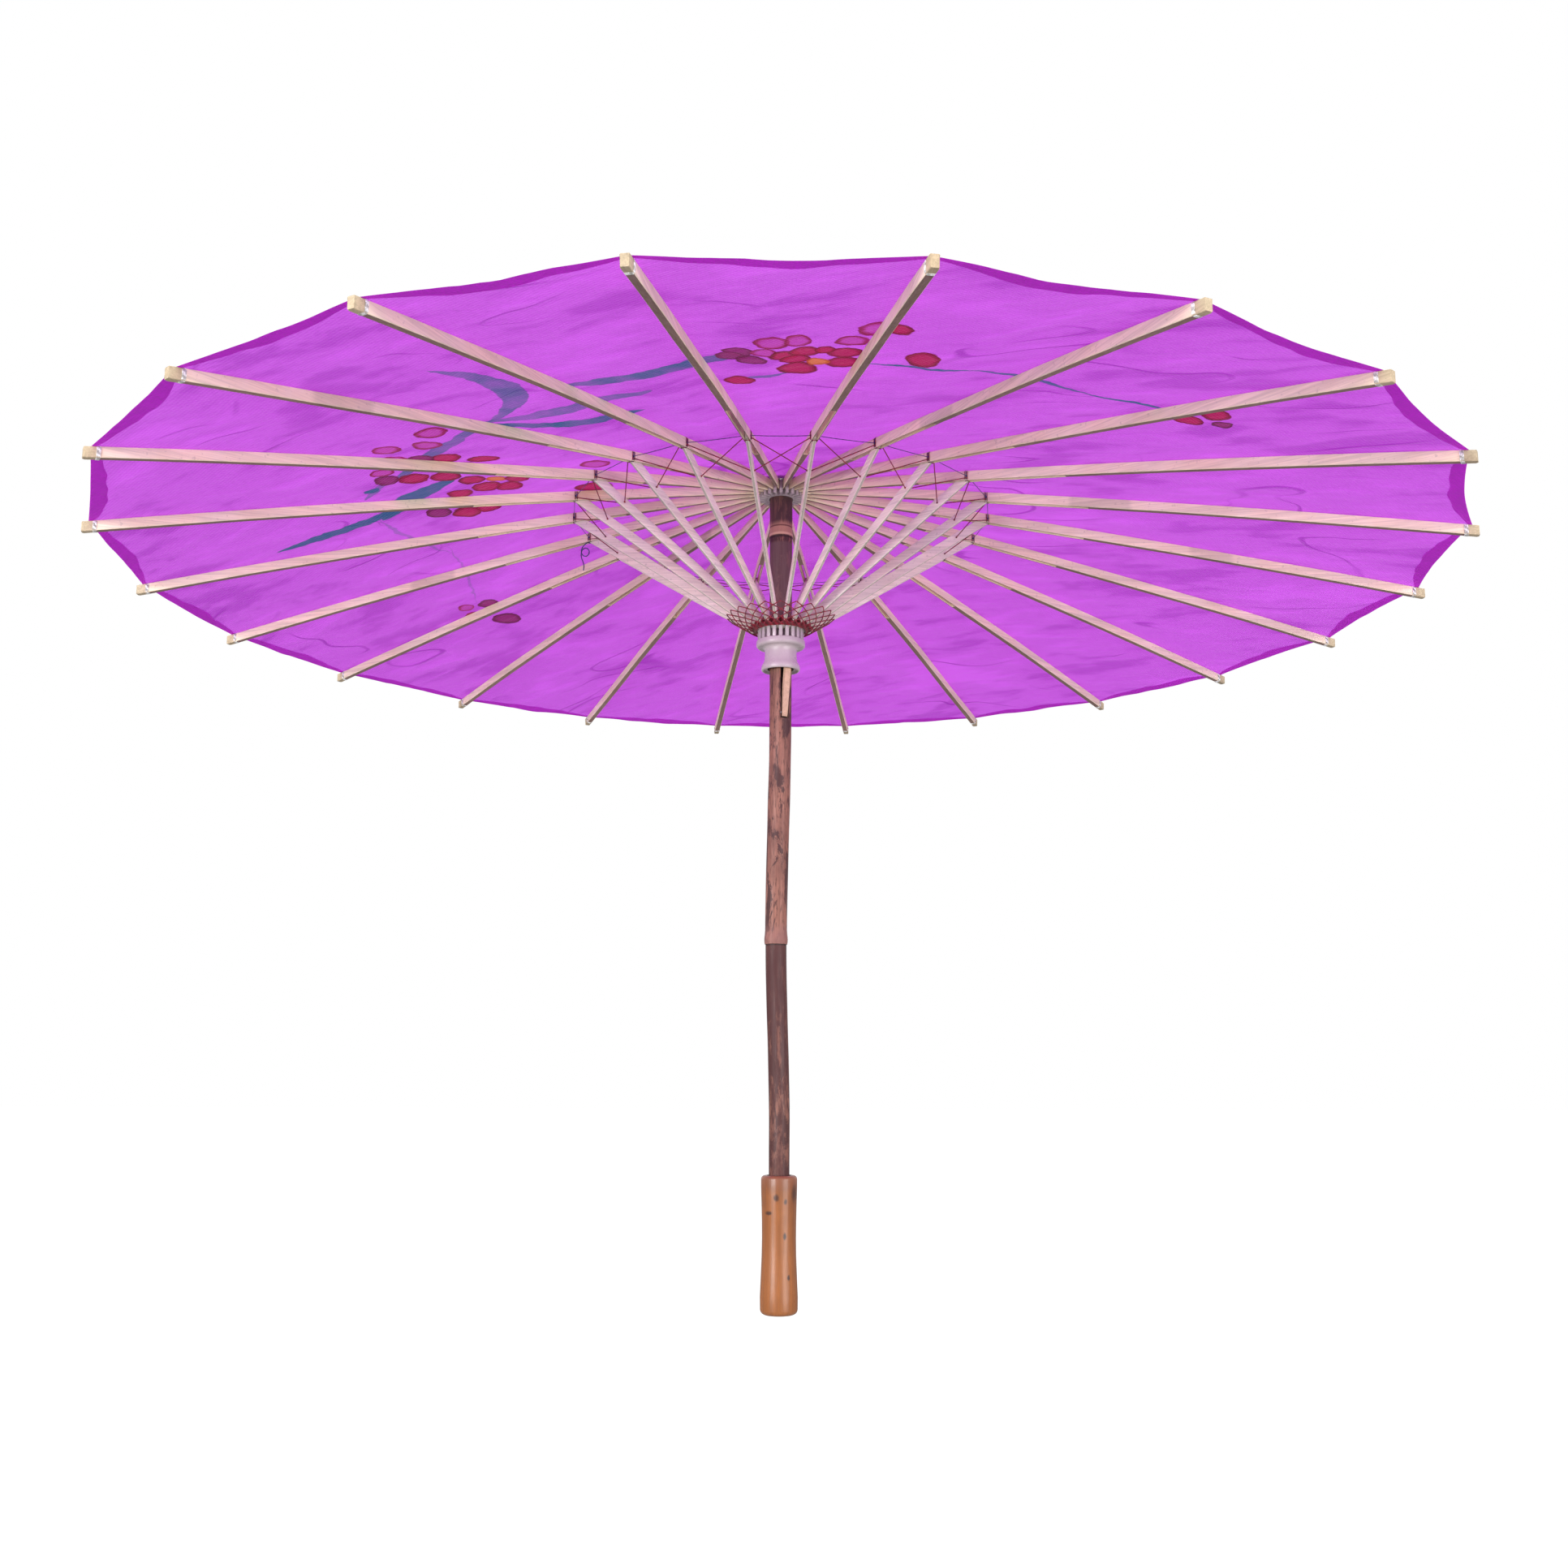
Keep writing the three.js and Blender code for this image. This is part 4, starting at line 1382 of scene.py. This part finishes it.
def tapered_bar(bm, stations, chamfer=0.3 * MM):
    """A bar of chamfered section through (radius, height, half width, half depth) stations, along +X."""
    across, up, flat = (bm.verts.layers.float[key] for key in ("across", "up", "flat"))
    corners = []
    for sx, sz in ((-1, -1), (1, -1), (1, 1), (-1, 1)):
        corners += [(sx, sz, 0), (sx, sz, 1)] if sx * sz > 0 else [(sx, sz, 1), (sx, sz, 0)]
    made = []
    for sx, sz, level in corners:
        vert = bm.verts.new((0, sx * (1 - 0.3 * level), sz * (0.7 + 0.3 * level)))
        vert[across], vert[up], vert[flat] = sx, sz, level
        made.append(vert)
    front = bm.faces.new(made)
    for k, (r, z, half_width, half_depth) in enumerate(stations):
        if k:
            result = bmesh.ops.extrude_face_region(bm, geom=[front], use_keep_orig=k == 1)
            last, front = front, next(g for g in result["geom"] if isinstance(g, bmesh.types.BMFace))
            if k > 1:
                bmesh.ops.delete(bm, geom=[last], context="FACES_ONLY")
        slope = 0.0
        if 0 < k < len(stations) - 1:
            slope = (stations[k + 1][1] - stations[k - 1][1]) / (stations[k + 1][0] - stations[k - 1][0])
        tilt = math.atan(slope)
        cut = min(chamfer, half_width * 0.5, half_depth * 0.5)
        for vert in front.verts:
            wide = vert[across] * (half_width - cut * vert[flat])
            high = vert[up] * (half_depth - cut * (1 - vert[flat]))
            vert.co = (r - high * math.sin(tilt), wide, z + high * math.cos(tilt))


def new_bar():
    """An empty bmesh that can hold tapered bars."""
    bm = bmesh.new()
    for key in ("across", "up", "flat"):
        bm.verts.layers.float.new(key)
    return bm


class PARASOL_OT_ribs(bpy.types.Operator):
    """Split-bamboo ribs, forked where the stretchers meet them, with wrapped tips"""

    bl_idname = "parasol.ribs"
    bl_label = "Ribs"

    def execute(self, context):
        for i in range(RIBS):
            self.rib(i)
        return {"FINISHED"}

    def outline(self, i):
        """Half width and unevenness of rib i along its length."""
        width = sizes().rib_width / 2
        stations = []
        radii = [HUB_R + k * MM for k in (-2.95, -2.2, -1, 1, 4, 7.7, 9.3, 25, 50, 75, 100)]
        radii += [FORK[0] + k * (FORK[1] - FORK[0]) / 8 for k in range(9)]
        radii += [FORK[1] + k * (TIP_R - FORK[1]) / 18 for k in range(1, 18)]
        radii += [TIP_R - 7.8 * MM, TIP_R - 7.3 * MM, TIP_R - 0.6 * MM, TIP_R]
        for r in sorted(radii):
            tongue = 0.7 * MM
            half = tongue
            if r > HUB_R + 8.5 * MM:
                half = 1.12 * MM
            if r > HUB_R + 25 * MM:
                half = 1.12 * MM + (width - 1.12 * MM) * smooth_step(HUB_R + 25 * MM, FORK[0] + 15 * MM, r)
            uneven = 0.16 * MM * wobble(i * 7.3, r * 22) * smooth_step(0.06, 0.2, r)
            depth = RIB_HALF_DEPTH + 0.14 * MM * wobble(i * 3.1, r * 16, 5) * smooth_step(0.06, 0.2, r)
            if r < HUB_R:
                depth = math.sqrt(max((0.6 * MM) ** 2, (3 * MM) ** 2 - (HUB_R - r) ** 2))
            if r > TIP_R - 0.3 * MM:
                half -= 0.3 * MM
                depth -= 0.3 * MM
            stations.append((r, rib_height(r) - 0.12 * MM, min(half + uneven, 2.1 * MM), min(depth, 3 * MM)))
        return stations

    def rib(self, i):
        bm = new_bar()
        stations = self.outline(i)
        before = [s for s in stations if s[0] <= FORK[0] + 1e-6]
        after = [s for s in stations if s[0] >= FORK[1] - 1e-6]
        between = [s for s in stations if FORK[0] - 1e-6 <= s[0] <= FORK[1] + 1e-6]
        tapered_bar(bm, before)
        tapered_bar(bm, after)
        slot = 1.25 * MM
        for side in (-1, 1):
            made = len(bm.verts)
            cheek = []
            for r, z, half, depth in between:
                cheek.append((r, z, (half - slot) / 2, depth))
            for end, way in ((0, -1.5 * MM), (-1, 1.5 * MM)):
                r, z, half, depth = cheek[end]
                tucked = (r + way, rib_height(r + way) - 0.12 * MM, half - 0.06 * MM, depth - 0.06 * MM)
                cheek.insert(0 if end == 0 else len(cheek), tucked)
            tapered_bar(bm, cheek, 0.15 * MM)
            bm.verts.ensure_lookup_table()
            for vert in bm.verts[made:]:
                vert.co.y += side * (slot + (sizes().rib_width / 2 - slot) / 2)
        sway = 0.9 * MM
        for vert in bm.verts:
            r = vert.co.x
            vert.co.y += (
                sway * wobble(i * 11.7, r * 7) * smooth_step(0.06, 0.3, r) * smooth_step(0.43, 0.34, r)
            )
        bmesh.ops.rotate(bm, verts=bm.verts, cent=(0, 0, 0), matrix=Matrix.Rotation(rib_angle(i), 3, "Z"))
        bmesh.ops.recalc_face_normals(bm, faces=bm.faces)
        name = f"rib_{i:02d}"
        base = bright(tuple(colours().bamboo_rib), 1 + 0.08 * wobble(i * 5.1, 0.4))
        # skin is the underside colour: bamboo skin together with painted shade.
        skin = bright(tuple(colours().bamboo_skin_and_shade), 1 + 0.15 * wobble(i * 2.9, 4.4))
        both = [
            slat_material(f"Rib bamboo {i:02d}", base, i),
            slat_material(f"Rib skin and shade {i:02d}", skin, i),
            material_for(f"tip {i % 4}", slat_material, f"Rib tip {i % 4}", tuple(colours().tip), i % 4),
        ]
        bm.normal_update()
        for face in bm.faces:
            away = face.calc_center_median().xy.length
            if away > TIP_R - 7.6 * MM:
                face.material_index = 2
            # Faces turned down take the darker colour: partly bamboo skin, partly painted shade under the
            # rib.
            elif face.normal.z < -0.8:
                face.material_index = 1
        finish_piece(f"bamboo_{name}", bm, both, name, (name,), angle=30)


FORK = (102 * MM, 199 * MM)


class PARASOL_OT_stretchers(bpy.types.Operator):
    """Thin strips on edge from the runner to the ribs"""

    bl_idname = "parasol.stretchers"
    bl_label = "Stretchers"

    def execute(self, context):
        for i in range(RIBS):
            self.stretcher(i)
        return {"FINISHED"}

    def stretcher(self, i):
        bm = new_bar()
        thick = sizes().stretcher_thickness / 2
        half_depth = 2.95 * MM
        stations = []
        shares = [-2.9, -2.2, -1, 1, 3.6, 5.4, 7, 8.2, 9.6, 20, 35, 50, 65, 80, 95, 108, 116, 122, 130]
        shares += [REACH / MM + k for k in (-8, -3, 0, 1.5, 2.4, 2.75)]
        for s in shares:
            along = s * MM
            half = 0.62 * MM if s < 4 else thick
            if s > REACH / MM - 24:
                half = 0.88 * MM
            depth = half_depth + 0.1 * MM * wobble(i * 4.7, s * 0.05)
            if s < 0:
                depth = (1.4 + math.sqrt(max(0.0, 2.5 - s * s * 0.29))) * MM
            over = s - REACH / MM
            if over > 0:
                depth = math.sqrt(max(0.3, 7.8 - over * over)) * MM
            neck = smooth_step(9.5, 5.5, s)
            stations.append((along, 1.2 * MM * neck, half, min(depth, 3 * MM) - 1.3 * MM * neck))
        tapered_bar(bm, stations)
        bow = 0.5 * MM * wobble(i * 9.1, 3.3)
        for vert in bm.verts:
            share = min(1.0, max(0.0, vert.co.x / REACH))
            vert.co.y += bow * math.sin(math.pi * share)
        place = Matrix.Rotation(rib_angle(i), 4, "Z") @ Matrix.Translation((RUNNER_R, 0, RUNNER_Z))
        bmesh.ops.transform(bm, matrix=place @ Matrix.Rotation(-RISE, 4, "Y"), verts=bm.verts)
        bmesh.ops.recalc_face_normals(bm, faces=bm.faces)
        name = f"stretcher_{i:02d}"
        base = bright(tuple(colours().bamboo_strip), 1 + 0.07 * wobble(i * 3.7, 8.4))
        material = slat_material(f"Strip bamboo {i:02d}", base, i, 0.0)
        # Painted shade: a darker copy of the strip's colour for its downward faces, standing in for the shade
        # on its lower edge.
        edge = slat_material(f"Strip painted shade {i:02d}", bright(base, 0.55), i, 0.0)
        bm.normal_update()
        for face in bm.faces:
            if face.normal.z < -0.75:
                face.material_index = 1
        finish_piece(f"bamboo_{name}", bm, [material, edge], name, (name,), angle=30)


class PARASOL_OT_canopy(bpy.types.Operator):
    """Cloth stretched over the ribs, in one part for each rib so that it can fold with them"""

    bl_idname = "parasol.canopy"
    bl_label = "Canopy"

    INNER = 17 * MM
    LIFT = 3.25 * MM

    def execute(self, context):
        pieces = [self.part(i) for i in range(RIBS)]
        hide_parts("canopy")
        return {"FINISHED"}

    def edge_reach(self, i, share):
        """Radius along the rib where the cloth ends, for a share from -1 to 1 across two half gores."""
        off = abs(share)
        curve = 1 - (1 - off) ** 1.75
        gore = i + (0.5 if share > 0 else -0.5)
        pull = 0.55 + 0.35 * wobble(round(gore * 2 % (2 * RIBS)) * 3.7, 1.2) + 0.5 * math.sin(STEP * gore)
        return sizes().cloth_radius - sizes().scallop * max(0.0, pull) * curve

    def height(self, r, share, flat_x, flat_y):
        """Height of the cloth: straight between the ribs, with a slight sag and wrinkles."""
        off = abs(share)
        loose = math.sin(math.pi * off / 2) ** 2
        fold = wobble(flat_x * 34, flat_y * 34, 2.0) * 0.8 + wobble(flat_x * 90, flat_y * 90, 7.0) * 0.3
        ray = wobble(math.atan2(flat_y, flat_x) * 9, r * 6, 4.0)
        span = smooth_step(0.03, 0.2, r)
        ripple = (1.4 * MM * fold + 1.2 * MM * ray) * loose * span
        return rib_height(r) + self.LIFT + ripple - 1.1 * MM * loose * span

    def part(self, i):
        bm = bmesh.new()
        columns, rows = 26, 96
        made = bmesh.ops.create_grid(bm, x_segments=rows, y_segments=columns, size=1)["verts"]
        uv = bm.loops.layers.uv.new("cloth")
        left = Vector((math.cos(rib_angle(i) - STEP), math.sin(rib_angle(i) - STEP), 0))
        mid = Vector((math.cos(rib_angle(i)), math.sin(rib_angle(i)), 0))
        right = Vector((math.cos(rib_angle(i) + STEP), math.sin(rib_angle(i) + STEP), 0))
        for vert in made:
            along = (vert.co.x + 1) / 2
            share = vert.co.y
            outer = self.edge_reach(i, share)
            r = self.INNER + (outer - self.INNER) * along
            other = right if share > 0 else left
            flat = (mid * (1 - abs(share) / 2) + other * (abs(share) / 2)) * r
            vert.co = (flat.x, flat.y, self.height(r, share, flat.x, flat.y))
        self.hem(bm, i, left, mid, right)
        for face in bm.faces:
            for loop in face.loops:
                loop[uv].uv = (loop.vert.co.x + 0.5, loop.vert.co.y + 0.5)
        name = f"cloth_{i:02d}"
        area = sum(face.calc_area() for face in bm.faces if face.material_index == 0)
        cloth = material_for(f"cloth {i}", cloth_material, i)
        hem = material_for("hem", hem_material, "Hem cloth", tuple(colours().hem))
        piece = finish_piece(name, bm, [cloth, hem], f"rib_{i:02d}", angle=180)
        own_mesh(piece)
        return piece

    def hem(self, bm, i, left, mid, right):
        """The turned-up edge: a second layer just under the cloth, with a wavy inner edge."""
        steps = 26
        made = bmesh.ops.create_grid(bm, x_segments=3, y_segments=steps, size=1)["verts"]
        for vert in made:
            along = (vert.co.x + 1) / 2
            share = vert.co.y
            outer = self.edge_reach(i, share) + 0.25 * MM
            across = share * 0.5 + i
            wide = sizes().hem * (0.25 + 0.75 * math.sin(math.pi * abs(share) / 2) ** 0.8)
            wide *= 1 + 0.45 * wobble(across * 1.9, 6.1) + 0.22 * wobble(across * 8, 2.2)
            r = outer - wide * (1 - along)
            other = right if share > 0 else left
            flat = (mid * (1 - abs(share) / 2) + other * (abs(share) / 2)) * r
            drop = 0.3 * MM * (1 - along * along * 0.8)
            vert.co = (flat.x, flat.y, self.height(r, share, flat.x, flat.y) - drop)
        faces = {face for vert in made for face in vert.link_faces}
        for face in faces:
            face.material_index = 1


class PARASOL_OT_top(bpy.types.Operator):
    """Cloth patch and turned knob over the hub"""

    bl_idname = "parasol.top"
    bl_label = "Top"

    def execute(self, context):
        base = HUB_Z
        points = [(8.2, 7.5), (12, 7.5), (15.2, 7.45), (18, 6.4), (21, 5), (23.4, 3.9), (24, 3.6), (24, 4.0)]
        points += [(23.6, 4.35), (21, 5.6), (18, 7), (15.4, 8.2), (12, 8.5), (8.2, 8.8)]
        bm = bmesh.new()
        spin_profile(bm, [(r * MM, base + z * MM) for r, z in points], 88, close=True)
        for vert in bm.verts:
            r = vert.co.xy.length
            if r > 16 * MM:
                turn = math.atan2(vert.co.y, vert.co.x)
                vert.co.z += 0.25 * MM * math.cos((turn - FIRST) * RIBS) * smooth_step(0.016, 0.024, r)
        uv = bm.loops.layers.uv.new("cloth")
        for face in bm.faces:
            for loop in face.loops:
                loop[uv].uv = (loop.vert.co.x + 0.5, loop.vert.co.y + 0.5)
        patch_cloth = material_for("patch", hem_material, "Patch cloth", bright(colours().cloth, 0.8))
        patch = finish_piece(
            "top_patch", bm, patch_cloth, "frame", ("crown_patch",), angle=80
        )
        self.knob()
        return {"FINISHED"}

    def knob(self):
        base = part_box("top_knob")[0].z
        points = [(7.9, 0), (9.8, 0)]
        points += arc_points(9.2, 1.6, 1.6, -math.pi / 2 + 0.4, math.pi / 2 - 0.4, 6)
        points += [(9.5, 3.6), (9.25, 5), (9.4, 7)]
        points += arc_points(0, 9.2, 9.6, 0.0, math.pi / 2, 12)
        points[-1] = (0, 18.8)
        points += [(0, 13.2), (7.9, 13.2)]
        bm = bmesh.new()
        spin_profile(bm, [(r * MM, base + z * MM) for r, z in points], 64, close=True)
        wood = material_for("handle wood", handle_material)
        finish_piece("turned_knob", bm, wood, "frame", ("top_knob",), angle=40)


class PARASOL_OT_lashings(bpy.types.Operator):
    """Tying threads between ribs and stretchers, the net on the runner and the wrapped tips"""

    bl_idname = "parasol.lashings"
    bl_label = "Lashings"

    def execute(self, context):
        for i in range(RIBS):
            self.on_rib(i)
            self.on_stretcher(i)
            self.net(i)
            self.tip(i)
        self.binding()
        return {"FINISHED"}

    def joint(self, i, side=0.0, up=0.0):
        return on_rib(i, JOINT_R, up, side)

    def knot(self, bm, place, size, material=0):
        made = bmesh.ops.create_icosphere(bm, subdivisions=1, radius=size)["verts"]
        for vert in made:
            vert.co *= 1 + 0.25 * wobble(vert.co.x * 4000, vert.co.y * 4000, vert.co.z * 4000)
        bmesh.ops.translate(bm, verts=made, vec=place)
        for face in {face for vert in made for face in vert.link_faces}:
            face.material_index = material

    def on_rib(self, i):
        """Blue thread halfway to each neighbour, the red crosses' upper halves and the joint's wrap."""
        bm = bmesh.new()
        radius = sizes().thread / 2
        gap = 2.3 * MM
        for side in (-1, 1):
            start = self.joint(i, side * gap, -0.4 * MM)
            end = self.joint((i + side) % RIBS, -side * gap, -0.4 * MM)
            half = (start + end) / 2 - Vector((0, 0, 0.3 * MM))
            add_tube(bm, [start, (start + half) / 2 - Vector((0, 0, 0.15 * MM)), half], radius * 0.8, 5, 1)
            low = on_stretcher((i + side) % RIBS, 1 - 24.5 * MM / REACH, 0, -side * 1.2 * MM)
            top = self.joint(i, side * gap, -1.6 * MM)
            add_tube(bm, [top, (top + low) / 2], radius * 1.2, 5, 0)
            self.knot(bm, start, 0.75 * MM, 1)
        turns = 3
        for k in range(turns):
            r = JOINT_R - 1 * MM + k * 0.8 * MM
            loop = []
            for step in range(13):
                turn = 2 * math.pi * step / 12
                across = 2.45 * MM * max(-1, min(1, 1.25 * math.cos(turn)))
                up = 3.25 * MM * max(-1, min(1, 1.25 * math.sin(turn))) - 0.1 * MM
                loop.append(on_rib(i, r, min(up, 3.1 * MM), across))
            add_tube(bm, loop, radius * 0.8, 5, k % 2)
        piece = finish_piece(f"rib_ties_{i:02d}", bm, [red_thread(), blue_thread()], f"rib_{i:02d}")
        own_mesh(piece)

    def on_stretcher(self, i):
        """The crossed red threads' lower halves and a knot through the stretcher."""
        bm = bmesh.new()
        radius = sizes().thread / 2
        share = 1 - 24.5 * MM / REACH
        for side in (-1, 1):
            low = on_stretcher(i, share, 0, side * 1.2 * MM)
            top = self.joint((i + side) % RIBS, -side * 2.3 * MM, -1.6 * MM)
            add_tube(bm, [low, (top + low) / 2], radius * 1.2, 5)
            self.knot(bm, low, 0.65 * MM)
        piece = finish_piece(f"strip_ties_{i:02d}", bm, [red_thread()], f"stretcher_{i:02d}")
        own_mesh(piece)

    def net(self, i):
        """This stretcher's share of the criss-cross net above the runner."""
        bm = bmesh.new()
        radius = sizes().thread / 2
        reach = 3
        for side in (-1, 1):
            for layer in range(reach):
                low = (layer / reach) ** 1.15
                high = ((layer + 1) / reach) ** 1.15
                first = 0.045 + 0.125 * low
                second = 0.045 + 0.125 * high
                points = []
                for step in range(5):
                    off = (-0.5 + step / 4) * side
                    share = first + (second - first) * step / 4
                    points.append(self.between(i, off, share))
                add_tube(bm, points, radius * 1.3, 5)
        for k in range(5):
            along = (3.9 + 0.95 * k) * MM
            wrap = []
            for step in range(11):
                turn = 2 * math.pi * (step / 10 + 0.5 / 10)
                across = 1.35 * MM * max(-1, min(1, 1.3 * math.cos(turn)))
                up = 2.1 * MM * max(-1, min(1, 1.3 * math.sin(turn))) + (1.1 - 0.22 * k) * MM
                wrap.append(on_stretcher(i, along / REACH, up, across))
            add_tube(bm, wrap, 0.55 * MM, 5)
        piece = finish_piece(f"net_{i:02d}", bm, [red_thread()], f"stretcher_{i:02d}")
        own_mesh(piece)

    def between(self, i, off, share):
        """A point on the net: off is how far towards the next stretcher, under the strips."""
        under = -3.25 * MM - 0.15 * MM
        here = on_stretcher(i, share, under)
        r = here.xy.length
        a = rib_angle(i) + off * STEP
        straight = math.cos(off * STEP) ** 0.5
        return Vector((r * straight * math.cos(a), r * straight * math.sin(a), here.z))

    def binding(self):
        """The thick winding of red thread round the crown's top, where every stretcher leaves it."""
        bm = bmesh.new()
        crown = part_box("runner")[1].z
        turns = [(16 + 0.6 * (k % 3) + 0.1 * k, -3.2 + 0.55 * k) for k in range(8)]
        for k, (radius, up) in enumerate(turns):
            points = []
            for step in range(89):
                a = FIRST + 2 * math.pi * step / 88 + k
                r = (radius + 0.18 * math.sin(a * RIBS / 2 + k)) * MM
                points.append(Vector((r * math.cos(a), r * math.sin(a), crown + up * MM)))
            points[-1] = points[0].copy()
            add_tube(bm, points, 0.5 * MM, 6)
        finish_piece("net_binding", bm, red_thread(), "runner")

    def tip(self, i):
        """White thread wound round the rib's end to hold the cloth."""
        bm = bmesh.new()
        for k in range(4):
            r = TIP_R - (6.2 + 0.55 * k) * MM
            points = []
            for step in range(13):
                turn = 2 * math.pi * step / 12
                across = 2.25 * MM * max(-1, min(1, 1.3 * math.cos(turn)))
                up = 3.15 * MM * max(-1, min(1, 1.3 * math.sin(turn))) - 0.12 * MM
                points.append(on_rib(i, r, up, across))
            add_tube(bm, points, 0.26 * MM, 5)
        finish_piece(f"tip_wrap_{i:02d}", bm, white_thread(), f"rib_{i:02d}")


class PARASOL_PT_panel(bpy.types.Panel):
    """Lists the parasol's pieces, sizes and colours"""

    bl_idname = "PARASOL_PT_panel"
    bl_label = "Parasol"
    bl_space_type = "VIEW_3D"
    bl_region_type = "UI"
    bl_category = "Parasol"

    def draw(self, context):
        layout = self.layout
        for operator in OPERATORS:
            layout.operator(operator.bl_idname)
        for group in (context.scene.parasol_sizes, context.scene.parasol_colours):
            for name in type(group).__annotations__:
                layout.prop(group, name)


OPERATORS = (
    PARASOL_OT_stage,
    PARASOL_OT_loose_thread,
    PARASOL_OT_shaft,
    PARASOL_OT_handle,
    PARASOL_OT_hub,
    PARASOL_OT_runner,
    PARASOL_OT_catch,
    PARASOL_OT_ribs,
    PARASOL_OT_stretchers,
    PARASOL_OT_canopy,
    PARASOL_OT_top,
    PARASOL_OT_lashings,
)
CLASSES = (ParasolSizes, ParasolColours, *OPERATORS, PARASOL_PT_panel)


def register():
    for one in CLASSES:
        bpy.utils.register_class(one)
    bpy.types.Scene.parasol_sizes = PointerProperty(type=ParasolSizes)
    bpy.types.Scene.parasol_colours = PointerProperty(type=ParasolColours)


def unregister():
    del bpy.types.Scene.parasol_colours
    del bpy.types.Scene.parasol_sizes
    for one in reversed(CLASSES):
        bpy.utils.unregister_class(one)


def main():
    register()
    for operator in OPERATORS:
        module, name = operator.bl_idname.split(".")
        getattr(getattr(bpy.ops, module), name)()


if __name__ == "__main__":
    main()
